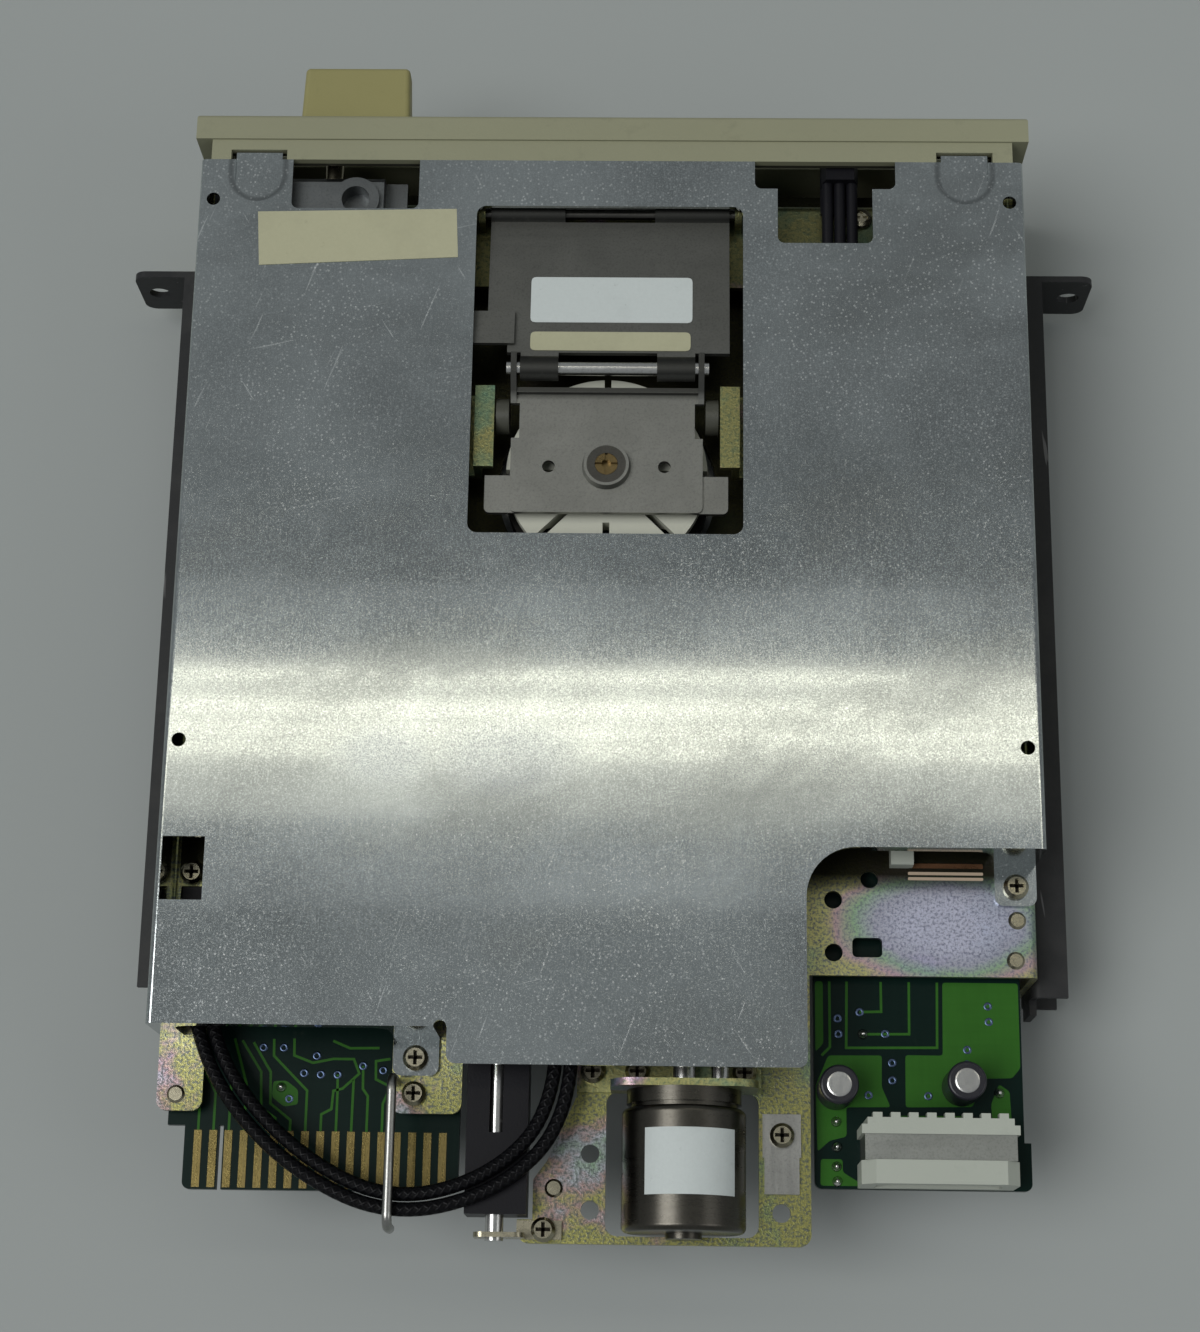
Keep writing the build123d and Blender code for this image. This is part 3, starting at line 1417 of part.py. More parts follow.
with BuildPart() as power_band:
    with BuildSketch(Plane.XZ.offset(-power_band_rear)):
        with Locations((power_x, board_top)):
            Rectangle(
                2 * (power_neck_half + band_sheet), power_height - power_recess + band_sheet,
                align=(Align.CENTER, Align.MIN),
            )
            Rectangle(2 * power_neck_half, power_height - power_recess, align=(Align.CENTER, Align.MIN),
                      mode=Mode.SUBTRACT)
    extrude(amount=power_band_rear - power_band_front)
power_band.part.label = "power_band"
export_step(power_band.part, "parts/power_band.step")

with BuildPart() as power_pins:
    with BuildSketch(Plane.XZ.offset(-pin_rear)):
        with Locations((power_x, power_mid_z)):
            with GridLocations(pin_pitch, 0, 4, 1):
                Circle(pin_r)
    extrude(amount=pin_rear - power_rear + power_depth)
power_pins.part.label = "power_pins"
export_step(power_pins.part, "parts/power_pins.step")

with BuildPart() as capacitors:
    with BuildSketch(Plane.XY.offset(board_top)):
        with Locations(*cap_spots):
            Circle(cap_r)
    extrude(amount=cap_height)
    fillet(edges().filter_by(GeomType.CIRCLE).group_by(Axis.Z)[-1], radius=cap_edge_r)
capacitors.part.label = "capacitors"
export_step(capacitors.part, "parts/capacitors.step")

with BuildPart() as pcb_chips:
    with BuildSketch(Plane.XY.offset(board_under)):
        with Locations(*chip_spots):
            Rectangle(chip_long, chip_wide)
    extrude(amount=-chip_height, taper=4)
pcb_chips.part.label = "pcb_chips"
export_step(pcb_chips.part, "parts/pcb_chips.step")

with BuildPart() as head_connector:
    with BuildSketch(Plane.XY.offset(board_top)):
        with Locations((connector_right, connector_front)):
            Rectangle(
                connector_left - connector_right, connector_rear - connector_front,
                align=(Align.MIN, Align.MIN),
            )
    extrude(amount=connector_height)
    chamfer(edges().filter_by(Axis.Y).group_by(Axis.Z)[-1], length=contact_sheet + seat_gap)
head_connector.part.label = "head_connector"
export_step(head_connector.part, "parts/head_connector.step")

with BuildPart() as sensor_connector:
    with BuildSketch(Plane.XY.offset(deck_top)):
        with Locations((sensor_x, (sensor_front + sensor_rear) / 2)):
            Rectangle(2 * sensor_half, sensor_rear - sensor_front)
    extrude(amount=sensor_height)
    chamfer(edges().filter_by(Axis.X).group_by(Axis.Z)[-1], length=seat_gap)
sensor_connector.part.label = "sensor_connector"
export_step(sensor_connector.part, "parts/sensor_connector.step")

# Stepper motor: can, groove and collar turned about the screw's axis
motor_axis = Axis((motor_x, 0, motor_z), (0, 1, 0))
with BuildPart() as stepper_can:
    with BuildSketch(Plane.XY.offset(motor_z)):
        with BuildLine():
            Polyline(
                (motor_x, collar_motor_front), (motor_x + collar_motor_r, collar_motor_front),
                (motor_x + collar_motor_r, collar_motor_rear), (motor_x + groove_r, collar_motor_rear),
                (motor_x + groove_r, can_front), (motor_x + can_r, can_front), (motor_x + can_r, can_rear),
                (motor_x + tail_r, can_rear), (motor_x + tail_r, tail_rear), (motor_x, tail_rear),
                close=True,
            )
        make_face()
        fillet(vertices().group_by(Axis.X)[-1], radius=can_edge_r)
    revolve(axis=motor_axis)
    with BuildSketch(Plane.XZ.offset(-collar_motor_front)):
        with Locations((motor_x, motor_z)):
            Circle(screw_r + slip)
    extrude(amount=collar_motor_front - can_front, mode=Mode.SUBTRACT)
stepper_can.part.label = "stepper_can"
export_step(stepper_can.part, "parts/stepper_can.step")

with BuildPart() as stepper_bracket:
    with BuildSketch(Plane.XY.offset(deck_top)):
        with Locations(((bracket_foot_left + bracket_foot_right) / 2, bracket_foot_front)):
            Rectangle(
                bracket_foot_left - bracket_foot_right, collar_motor_front - bracket_foot_front,
                align=(Align.CENTER, Align.MIN),
            )
        with Locations(*foot_screws):
            Circle(trim_hole_r, mode=Mode.SUBTRACT)
    extrude(amount=steel)
    with BuildSketch(Plane.XZ.offset(-collar_motor_front)):
        with Locations((motor_x, deck_top)):
            Rectangle(2 * bracket_plate_half, bracket_plate_top - deck_top, align=(Align.CENTER, Align.MIN))
        fillet(vertices().group_by(Axis.Y)[-1], radius=bracket_plate_r)
        with Locations((motor_x, motor_z)):
            Circle(shaft_hole_r, mode=Mode.SUBTRACT)
        with Locations((side_rod_x, rod_z)):
            Circle(rod_r + slip, mode=Mode.SUBTRACT)
    extrude(amount=steel)
stepper_bracket.part.label = "stepper_bracket"
export_step(stepper_bracket.part, "parts/stepper_bracket.step")

with BuildPart() as leaf_plate:
    with BuildSketch(Plane.XY.offset(deck_top)):
        with Locations(((leaf_left + leaf_right) / 2, leaf_front)):
            Rectangle(leaf_left - leaf_right, leaf_mid - leaf_front, align=(Align.CENTER, Align.MIN))
        with Locations(((leaf_left + leaf_right) / 2, leaf_mid)):
            Rectangle(
                leaf_left - leaf_right - 2 * leaf_inset, leaf_rear - leaf_mid,
                align=(Align.CENTER, Align.MIN),
            )
        with Locations(leaf_screw):
            Circle(trim_hole_r, mode=Mode.SUBTRACT)
    extrude(amount=leaf_sheet)
leaf_plate.part.label = "leaf_plate"
export_step(leaf_plate.part, "parts/leaf_plate.step")

# Lead screw with a helical groove
with BuildPart() as lead_screw:
    with BuildSketch(Plane.XZ.offset(-can_front)):
        with Locations((motor_x, motor_z)):
            Circle(screw_r)
    extrude(amount=can_front - clip_rear)
    with BuildSketch(Plane.XZ.offset(-clip_rear)):
        with Locations((motor_x, motor_z)):
            Circle(screw_tip_r)
    extrude(amount=clip_rear - screw_front)
    with BuildLine() as groove_path:
        Helix(
            screw_lead, bracket_foot_front - channel_front, screw_r,
            center=(motor_x, channel_front, motor_z), direction=(0, 1, 0),
        )
    with BuildSketch(Plane(groove_path.line @ 0, z_dir=groove_path.line % 0)):
        Circle(groove_depth)
    sweep(path=groove_path.line, is_frenet=True, mode=Mode.SUBTRACT)
lead_screw.part.label = "lead_screw"
export_step(lead_screw.part, "parts/lead_screw.step")

# Guide rods, their clips and the screw's front bearing
with BuildPart() as guide_rod_main:
    with BuildSketch(Plane.XZ.offset(-rod_rear)):
        with Locations((rod_x, rod_z)):
            Circle(rod_r)
    extrude(amount=rod_rear - rod_front)
guide_rod_main.part.label = "guide_rod_main"
export_step(guide_rod_main.part, "parts/guide_rod_main.step")

with BuildPart() as guide_rod_side:
    with BuildSketch(Plane.XZ.offset(-collar_motor_front)):
        with Locations((side_rod_x, rod_z)):
            Circle(rod_r)
    extrude(amount=collar_motor_front - rod_front)
guide_rod_side.part.label = "guide_rod_side"
export_step(guide_rod_side.part, "parts/guide_rod_side.step")

with BuildPart() as rod_clips:
    with BuildSketch(Plane.XZ.offset(-clip_rear)):
        for clip_x in (rod_x, side_rod_x):
            with Locations((clip_x, deck_top)):
                Rectangle(2 * clip_half, clip_top - deck_top, align=(Align.CENTER, Align.MIN))
            with Locations((clip_x, rod_z)):
                Circle(rod_r + slip, mode=Mode.SUBTRACT)
    extrude(amount=clip_rear - clip_front)
    fillet(edges().filter_by(Axis.Y).group_by(Axis.Z)[-1], radius=clip_half / 3)
rod_clips.part.label = "rod_clips"
export_step(rod_clips.part, "parts/rod_clips.step")

with BuildPart() as screw_bearing:
    with BuildSketch(Plane.XZ.offset(-clip_rear)):
        with Locations((motor_x, deck_top)):
            Rectangle(2 * clip_half, motor_z + clip_half - deck_top, align=(Align.CENTER, Align.MIN))
        with Locations((motor_x, motor_z)):
            Circle(screw_tip_r + slip, mode=Mode.SUBTRACT)
    extrude(amount=clip_rear - clip_front)
screw_bearing.part.label = "screw_bearing"
export_step(screw_bearing.part, "parts/screw_bearing.step")

with BuildPart() as rod_end_clip:
    with BuildSketch(Plane.XY.offset(deck_top)):
        with Locations((end_clip_right, end_clip_front)):
            Rectangle(
                plate_foot_x - end_clip_right, end_clip_rear - end_clip_front, align=(Align.MIN, Align.MIN)
            )
        with Locations(clip_screw):
            Circle(trim_hole_r, mode=Mode.SUBTRACT)
    extrude(amount=end_clip_sheet)
    with BuildSketch(Plane.XZ.offset(-end_clip_rear)):
        with Locations((end_clip_leg, deck_top)):
            Rectangle(end_clip_left - end_clip_leg, end_clip_top - deck_top, align=(Align.MIN, Align.MIN))
        fillet(vertices().group_by(Axis.Y)[-1], radius=rod_r)
        with Locations((rod_x, rod_z)):
            Circle(rod_r + slip, mode=Mode.SUBTRACT)
    extrude(amount=end_clip_sheet)
rod_end_clip.part.label = "rod_end_clip"
export_step(rod_end_clip.part, "parts/rod_end_clip.step")

# Head carriage: rail on the main rod, stage, nose with the lower head, uprights for the upper arm
with BuildPart() as carriage:
    with BuildSketch(Plane.XY.offset(stage_low)):
        with Locations((rail_right, stage_front)):
            Rectangle(rail_left - rail_right, rail_rear - stage_front, align=(Align.MIN, Align.MIN))
    extrude(amount=rail_top - stage_low)
    with BuildSketch(Plane.XY.offset(stage_low)):
        with Locations((side_rod_x - side_bush_half, stage_front)):
            Rectangle(
                rail_right - side_rod_x + side_bush_half, stage_rear - stage_front,
                align=(Align.MIN, Align.MIN),
            )
    extrude(amount=stage_top - stage_low)
    with BuildSketch(Plane.XY.offset(stage_low)):
        with Locations((0, nose_front)):
            Rectangle(2 * nose_half, stage_front - nose_front, align=(Align.CENTER, Align.MIN))
    extrude(amount=nose_top - stage_low)
    with BuildSketch(Plane.XY.offset(stage_top)):
        with Locations((side_rod_x, stage_front)):
            Rectangle(2 * side_bush_half, stage_rear - stage_front, align=(Align.CENTER, Align.MIN))
    extrude(amount=rail_top - stage_top)
    with BuildSketch(Plane.XY.offset(stage_top)):
        with Locations((cable_wall_right, cable_wall_front)):
            Rectangle(
                cable_wall_left - cable_wall_right, stage_rear - cable_wall_front,
                align=(Align.MIN, Align.MIN),
            )
    extrude(amount=cable_wall_top - stage_top)
    with BuildSketch(Plane.YZ.offset(upright_inner)):
        with Locations((stage_front, stage_top)):
            Rectangle(upright_rear - stage_front, upright_top - stage_top, align=(Align.MIN, Align.MIN))
        with Locations((arm_y, arm_z)):
            Circle(trunnion_r + slip, mode=Mode.SUBTRACT)
    near_upright = extrude(amount=upright_outer - upright_inner)
    mirror(near_upright, about=Plane.YZ)
    with BuildSketch(Plane.XY.offset(rail_top)):
        with Locations((rod_x, rail_slot_front)):
            Rectangle(2 * rail_slot_half, rail_slot_rear - rail_slot_front, align=(Align.CENTER, Align.MIN))
    extrude(amount=rod_z - rail_top, mode=Mode.SUBTRACT)
    with BuildSketch(Plane.XZ.offset(-rail_rear)):
        with Locations((rod_x, rod_z), (side_rod_x, rod_z)):
            Circle(rod_r + slip)
    extrude(amount=rail_rear - nose_front, mode=Mode.SUBTRACT)
carriage.part.label = "carriage"
export_step(carriage.part, "parts/carriage.step")

with BuildPart() as screw_follower:
    with BuildSketch(Plane.XZ.offset(-follower_rear)):
        with Locations((motor_x, stage_top)):
            Rectangle(2 * follower_half, motor_z - stage_top, align=(Align.CENTER, Align.MIN))
        with Locations((motor_x, motor_z)):
            Circle(screw_r + slip, mode=Mode.SUBTRACT)
    extrude(amount=follower_rear - follower_front)
screw_follower.part.label = "screw_follower"
export_step(screw_follower.part, "parts/screw_follower.step")

with BuildPart() as lower_head:
    with BuildSketch(Plane.XY.offset(nose_top)):
        with Locations((0, head_y)):
            Rectangle(2 * head_x_half, 2 * head_y_half)
    extrude(amount=lower_head_top - nose_top)
    chamfer(faces().sort_by(Axis.Z)[-1].edges(), length=seat_gap)
lower_head.part.label = "lower_head"
export_step(lower_head.part, "parts/lower_head.step")

# Upper head arm: raised at rest, it turns down about its trunnions when the lever closes
arm_turn = math.radians(arm_angle)
arm_plane = Plane((0, arm_y, arm_z), x_dir=(1, 0, 0), z_dir=(0, math.sin(arm_turn), math.cos(arm_turn)))
arm_under = arm_plane.offset(-arm_sheet / 2)
head_reach = head_y - arm_y
upper_head_height = arm_z - arm_sheet / 2 - hub_face_z
with BuildPart() as head_arm:
    with BuildSketch(arm_under):
        with Locations((0, arm_front)):
            Rectangle(2 * arm_half, arm_rear - arm_front, align=(Align.CENTER, Align.MIN))
        fillet(vertices().group_by(Axis.Y)[0], radius=arm_half / 2)
    extrude(amount=arm_sheet)
    with BuildSketch(arm_plane.offset(arm_sheet / 2)):
        for side in (1, -1):
            with Locations((side * arm_rib_half, arm_front + arm_half)):
                Rectangle(arm_rib, -arm_front - 2 * arm_half, align=(Align.CENTER, Align.MIN))
    extrude(amount=arm_rib)
    with BuildSketch(Plane.YZ.offset(-trunnion_half)):
        with Locations((arm_y, arm_z)):
            Circle(trunnion_r)
    extrude(amount=2 * trunnion_half)
head_arm.part.label = "head_arm"
export_step(head_arm.part, "parts/head_arm.step")

with BuildPart() as upper_head:
    with BuildSketch(arm_under):
        with Locations((0, head_reach)):
            Rectangle(2 * head_x_half, 2 * head_y_half)
    extrude(amount=-upper_head_height)
    chamfer(faces().sort_by(Axis.Z)[0].edges(), length=seat_gap)
upper_head.part.label = "upper_head"
export_step(upper_head.part, "parts/upper_head.step")

# Side rails: outward channels with a front ear, screwed to the lower side holes
rail_face = half_width + rail_depth
with BuildPart() as side_rail_left:
    with BuildSketch(Plane.XZ.offset(-side_rail_rear)):
        with BuildLine():
            Polyline(
                (half_width, rail_low), (rail_face, rail_low), (rail_face, rail_low + rail_sheet),
                (half_width + rail_sheet, rail_low + rail_sheet),
                (half_width + rail_sheet, rail_high - rail_sheet),
                (rail_face, rail_high - rail_sheet), (rail_face, rail_high), (half_width, rail_high),
                close=True,
            )
        make_face()
        fillet(vertices().group_by(Axis.X)[0], radius=rail_bend)
    extrude(amount=side_rail_rear - side_rail_front)
    with BuildSketch(Plane.YZ.offset(half_width)):
        with Locations((side_rail_rear, (rail_low + rail_high) / 2)):
            Rectangle(
                side_rail_tab, (rail_high - rail_low) * side_rail_tab_share, align=(Align.MIN, Align.CENTER)
            )
    extrude(amount=rail_sheet)
    with BuildSketch(Plane.XZ.offset(-side_rail_front - rail_sheet)):
        with Locations((half_width + rail_sheet, (rail_low + rail_high) / 2)):
            Rectangle(
                ear_reach - half_width - rail_sheet, rail_high - rail_low, align=(Align.MIN, Align.CENTER)
            )
        fillet(vertices().group_by(Axis.X)[-1], radius=ear_corner_r)
        with Locations((ear_hole_x, (rail_low + rail_high) / 2)):
            Circle(ear_hole_r, mode=Mode.SUBTRACT)
    extrude(amount=rail_sheet)
    with BuildSketch(Plane.YZ.offset(half_width)):
        with Locations((hole_first_y, side_hole_low), (hole_first_y + hole_pitch_y, side_hole_low)):
            Circle(rail_hole_r)
    extrude(amount=rail_sheet, mode=Mode.SUBTRACT)
side_rail_left.part.label = "side_rail_left"
export_step(side_rail_left.part, "parts/side_rail_left.step")

with BuildPart() as side_rail_right:
    add(mirror(side_rail_left.part, about=Plane.YZ, mode=Mode.PRIVATE))
side_rail_right.part.label = "side_rail_right"
export_step(side_rail_right.part, "parts/side_rail_right.step")

with BuildPart() as rail_screws:
    with BuildSketch(Plane.YZ.offset(half_width + rail_sheet)):
        with Locations((hole_first_y, side_hole_low), (hole_first_y + hole_pitch_y, side_hole_low)):
            Circle(rail_screw_head_r)
    near_heads = extrude(amount=rail_screw_head, taper=20)
    with BuildSketch(Plane.YZ.offset(half_width + rail_sheet)):
        with Locations((hole_first_y, side_hole_low), (hole_first_y + hole_pitch_y, side_hole_low)):
            Circle(rail_screw_shank)
    near_shanks = extrude(amount=-rail_screw_length)
    mirror(near_heads, about=Plane.YZ)
    mirror(near_shanks, about=Plane.YZ)
rail_screws.part.label = "rail_screws"
export_step(rail_screws.part, "parts/rail_screws.step")

# Wire hook that holds the cables down
with BuildPart() as cable_hook:
    with BuildLine() as hook_path:
        FilletPolyline(
            (hook_x, hook_y, deck_top), (hook_x, hook_y, hook_top), (hook_x, hook_end_y, hook_top),
            (hook_x, hook_end_y, hook_end_z), radius=hook_bend_r,
        )
    with BuildSketch(Plane((hook_x, hook_y, deck_top))):
        Circle(hook_r)
    sweep(path=hook_path.wires()[0])
cable_hook.part.label = "cable_hook"
export_step(cable_hook.part, "parts/cable_hook.step")


def cable(route, name):
    """A round cable along straight runs that tangent arcs join."""
    points = [Vector(x, y, z + deck_top - route_deck) for x, y, z in route]
    radii = []
    for before, here, after in zip(points, points[1:], points[2:]):
        run_in = here - before
        run_out = after - here
        turn = math.radians(run_in.get_angle(run_out))
        radii.append(cable_share * min(run_in.length, run_out.length) / math.tan(turn / 2))
    print(name, "bend radii", [round(radius, 1) for radius in radii])
    with BuildPart() as tube:
        with BuildLine() as path:
            FilletPolyline(*points, radius=radii)
        with BuildSketch(Plane(points[0], z_dir=points[1] - points[0])):
            Circle(cable_r)
        sweep(path=path.wires()[0])
    length = path.wires()[0].length
    share = tube.part.volume / (math.pi * cable_r**2 * length)
    print(name, "length", round(length, 1), "volume share", round(share, 4))
    return tube.part


head_cable_upper = cable(cable_outer, "head_cable_upper")
head_cable_upper.label = "head_cable_upper"
export_step(head_cable_upper, "parts/head_cable_upper.step")

head_cable_lower = cable(cable_inner, "head_cable_lower")
head_cable_lower.label = "head_cable_lower"
export_step(head_cable_lower, "parts/head_cable_lower.step")
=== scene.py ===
import math

import bpy
from bpy.props import FloatProperty, FloatVectorProperty, PointerProperty
from mathutils import Matrix, Vector


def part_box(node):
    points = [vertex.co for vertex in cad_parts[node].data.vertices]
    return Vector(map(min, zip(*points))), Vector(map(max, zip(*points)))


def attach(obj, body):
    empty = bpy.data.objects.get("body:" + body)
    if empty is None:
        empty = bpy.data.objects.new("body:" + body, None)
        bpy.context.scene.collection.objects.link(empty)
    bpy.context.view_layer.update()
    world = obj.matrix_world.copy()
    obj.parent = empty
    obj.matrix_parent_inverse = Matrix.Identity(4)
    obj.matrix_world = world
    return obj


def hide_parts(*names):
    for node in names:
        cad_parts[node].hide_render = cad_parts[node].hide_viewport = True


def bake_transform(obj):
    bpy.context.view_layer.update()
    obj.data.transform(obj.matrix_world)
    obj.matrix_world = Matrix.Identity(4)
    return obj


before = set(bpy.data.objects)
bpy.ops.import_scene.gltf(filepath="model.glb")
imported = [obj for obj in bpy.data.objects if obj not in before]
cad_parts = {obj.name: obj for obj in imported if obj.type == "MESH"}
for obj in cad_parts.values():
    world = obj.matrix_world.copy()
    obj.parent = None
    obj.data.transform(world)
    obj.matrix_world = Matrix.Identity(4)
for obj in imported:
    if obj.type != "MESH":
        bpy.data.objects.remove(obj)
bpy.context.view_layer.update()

bl_info = {
    "name": "Floppy disk drive finish",
    "version": (1, 0, 0),
    "blender": (4, 5, 0),
    "location": "View3D > Sidebar > Drive",
    "description": "Dresses a half-height floppy disk drive: finishes, cables, board copper, bare labels",
    "category": "Object",
}

MM = 0.001
WALL_INNER = 71.4 * MM
DECK_FACE = 27.2 * MM
CHASSIS = "chassis"
CLAMP_ARM = "clamp_arm"


def colour(name, text, default):
    """A colour that a user may change in the sidebar."""
    return FloatVectorProperty(
        name=name, description=text, subtype="COLOR", size=3, min=0, max=1, default=default
    )


def length(name, text, default):
    """A length in metres that a user may change in the sidebar."""
    return FloatProperty(
        name=name, description=text, unit="LENGTH", subtype="DISTANCE", precision=5, default=default
    )


class DriveColours(bpy.types.PropertyGroup):
    """Colours of the drive's finishes."""

    bezel: colour("Bezel", "Aged moulded plastic of the front", (0.232, 0.234, 0.153))
    knob: colour("Knob", "Yellowed plastic of the lever's knob", (0.242, 0.225, 0.093))
    shield: colour("Shield", "Bare rolled sheet of the cover", (0.44, 0.475, 0.475))
    zinc_yellow: colour("Zinc, yellow", "Main tone of the chromated chassis", (0.47, 0.45, 0.19))
    zinc_pink: colour("Zinc, pink", "Pink bloom of the chromated chassis", (0.50, 0.34, 0.40))
    zinc_green: colour("Zinc, green", "Green bloom of the chromated chassis", (0.25, 0.42, 0.28))
    zinc_violet: colour("Zinc, violet", "Violet bloom of the chromated chassis", (0.46, 0.48, 0.66))
    board: colour("Board", "Solder mask over bare laminate", (0.0016, 0.0095, 0.0072))
    copper_pour: colour("Copper pour", "Solder mask over copper", (0.024, 0.098, 0.012))
    gold: colour("Gold", "Plated edge contacts", (0.20, 0.155, 0.055))
    white_plastic: colour("White plastic", "Power header", (0.36, 0.386, 0.335))
    hub_plastic: colour("Hub plastic", "Clamping hub and follower", (0.50, 0.51, 0.43))
    black_plastic: colour("Black plastic", "Carriage and holders", (0.006, 0.006, 0.008))
    black_paint: colour("Black paint", "Side rails", (0.018, 0.019, 0.020))
    plate: colour("Clamp plate", "Plated clamp parts", (0.150, 0.152, 0.140))
    paper: colour("Paper", "Bare white label", (0.50, 0.545, 0.535))
    old_paper: colour("Old paper", "Bare yellowed label", (0.385, 0.38, 0.255))
    floor: colour("Floor", "Plain pale ground", (0.29, 0.312, 0.305))


class DriveSizes(bpy.types.PropertyGroup):
    """Sizes of the pieces that dress the drive."""

    cable_diameter: length("Cable diameter", "Outer diameter of the braided head cables", 2.3 * MM)
    label_thickness: length("Label thickness", "Thickness of a stuck label", 0.12 * MM)
    trace_width: length("Trace width", "Width of a copper trace", 0.42 * MM)
    copper_height: length("Copper height", "How far copper stands above the board", 0.05 * MM)
    via_radius: length("Via radius", "Radius of a plated hole's ring", 0.75 * MM)
    joint_radius: length("Joint radius", "Radius of a solder joint", 0.9 * MM)


class Value:
    """A shader value whose arithmetic adds Math nodes."""

    def __init__(self, shade, socket):
        self.shade = shade
        self.socket = socket

    def __add__(self, other):
        return self.shade.calc("ADD", self, other)

    def __radd__(self, other):
        return self.shade.calc("ADD", other, self)

    def __sub__(self, other):
        return self.shade.calc("SUBTRACT", self, other)

    def __rsub__(self, other):
        return self.shade.calc("SUBTRACT", other, self)

    def __mul__(self, other):
        return self.shade.calc("MULTIPLY", self, other)

    def __rmul__(self, other):
        return self.shade.calc("MULTIPLY", other, self)

    def __gt__(self, other):
        return self.shade.calc("GREATER_THAN", self, other)

    def __lt__(self, other):
        return self.shade.calc("LESS_THAN", self, other)


class Shade:
    """A material with one surface shader and short ways to patterns on the object's own coordinates."""

    def __init__(self, name, **constants):
        self.material = bpy.data.materials.new(name)
        self.material.use_nodes = True
        self.tree = self.material.node_tree
        self.surface = self.tree.nodes["Principled BSDF"]
        self.place = self.node("ShaderNodeTexCoord", out="Object")
        for socket, value in constants.items():
            self.surface.inputs[socket.replace("_", " ")].default_value = value

    def node(self, kind, settings=None, inputs=None, out=0):
        """Adds a node, sets its settings first, then its sockets from numbers, colours or other values."""
        node = self.tree.nodes.new(kind)
        for key, value in (settings or {}).items():
            if key == "stops":
                ramp = node.color_ramp
                while len(ramp.elements) < len(value):
                    ramp.elements.new(0.5)
                for element, (position, hue) in zip(ramp.elements, value):
                    element.position = position
                    element.color = (*hue, 1)
            else:
                setattr(node, key, value)
        for key, value in (inputs or {}).items():
            if isinstance(value, Value):
                self.tree.links.new(value.socket, node.inputs[key])
            else:
                node.inputs[key].default_value = value
        return Value(self, node.outputs[out])

    def set(self, socket, value):
        """Feeds one of the surface shader's sockets."""
        self.tree.links.new(value.socket, self.surface.inputs[socket])

    def calc(self, operation, first, second=0.0):
        """One step of arithmetic."""
        return self.node("ShaderNodeMath", {"operation": operation}, {0: first, 1: second})

    def axis(self, name, place=None):
        """One of the coordinates by itself."""
        return self.node("ShaderNodeSeparateXYZ", {}, {0: place or self.place}, name)

    def patch(self, middle, reach, edge=0.15, ragged=0.3):
        """One inside an oval about a middle, in metres, with a soft and ragged rim."""
        across = (self.axis("X") - middle[0]) * (1 / reach[0])
        along = (self.axis("Y") - middle[1]) * (1 / reach[1])
        far = self.calc("SQRT", across * across + along * along) + ragged * self.noise(120, 4, 0.6)
        return self.spread(far, 1 + ragged / 2 + edge, 1 + ragged / 2 - edge)

    def stretch(self, scale, turn=0.0):
        """The coordinates turned about Z, then scaled along each axis."""
        inputs = {"Vector": self.place, "Scale": [1 / size for size in scale], "Rotation": (0, 0, turn)}
        return self.node("ShaderNodeMapping", {"vector_type": "TEXTURE"}, inputs)

    def noise(self, scale, detail=4.0, rough=0.55, place=None, twist=0.0):
        """Cloudy values about one half, at so many features per metre."""
        inputs = {"Vector": place or self.place, "Scale": scale, "Detail": detail}
        inputs |= {"Roughness": rough, "Distortion": twist}
        return self.node("ShaderNodeTexNoise", {}, inputs)

    def cells(self, scale):
        """Distance to scattered cell centres."""
        return self.node("ShaderNodeTexVoronoi", {}, {"Vector": self.place, "Scale": scale}, "Distance")

    def spread(self, value, low, high):
        """A value pulled from low..high to 0..1."""
        inputs = {"Value": value, "From Min": low, "From Max": high}
        return self.node("ShaderNodeMapRange", {"clamp": True}, inputs)

    def ramp(self, value, stops):
        """A colour that runs through several stops."""
        return self.node("ShaderNodeValToRGB", {"stops": stops}, {"Fac": value}, "Color")

    def scratch(self, scale, turn, low, high):
        """Sparse thin lines along the axis of the smallest scale, turned about Z."""
        return self.spread(self.noise(1.0, 2, 0.5, self.stretch(scale, turn)), low, high)

    def blend(self, factor, first, second, mode="MIX"):
        """A mix of two colours."""
        first = first if isinstance(first, Value) else (*first, 1)
        second = second if isinstance(second, Value) else (*second, 1)
        settings = {"data_type": "RGBA", "blend_type": mode}
        return self.node("ShaderNodeMix", settings, {"Factor": factor, 6: first, 7: second}, 2)

    def relief(self, height, strength, distance):
        """Feeds the normal from a height pattern."""
        inputs = {"Height": height, "Strength": strength, "Distance": distance}
        self.set("Normal", self.node("ShaderNodeBump", {}, inputs, "Normal"))


def tone(shade_colour, factor):
    """A colour made darker or lighter."""
    return tuple(min(1.0, part * factor) for part in shade_colour)


def moulded_plastic(name, base, grime, rough=0.5, shine=0.4, inner=None):
    """Moulded plastic: a fine spark-eroded grain, faded patches, a little grime and, when an inner region
    is given, painted shade on its inner side.
    """
    shade = Shade(name, Specular_IOR_Level=shine)
    patches = shade.noise(22, 5, 0.6)
    dirt = shade.spread(shade.noise(160, 6, 0.7), 0.58, 0.8)
    faded = shade.blend(patches, tone(base, 0.9), tone(base, 1.1))
    faded = shade.blend(dirt * grime, faded, tone(base, 0.45))
    if inner:
        # painted shade: behind the given row in Y, below the given height and inside the side walls the
        # plastic is darkened nearly to black
        inner_shade = (shade.axis("Y") > inner[0]) * (shade.axis("Z") < inner[1])
        inner_shade = inner_shade * (shade.calc("ABSOLUTE", shade.axis("X")) < WALL_INNER)
        faded = shade.blend(0.9 * inner_shade, faded, tone(base, 0.03))
    shade.set("Base Color", faded)
    shade.set("Roughness", rough - 0.12 + 0.24 * shade.noise(300, 3))
    shade.relief(shade.noise(2600, 3, 0.6), 0.25, 0.08 * MM)
    return shade.material


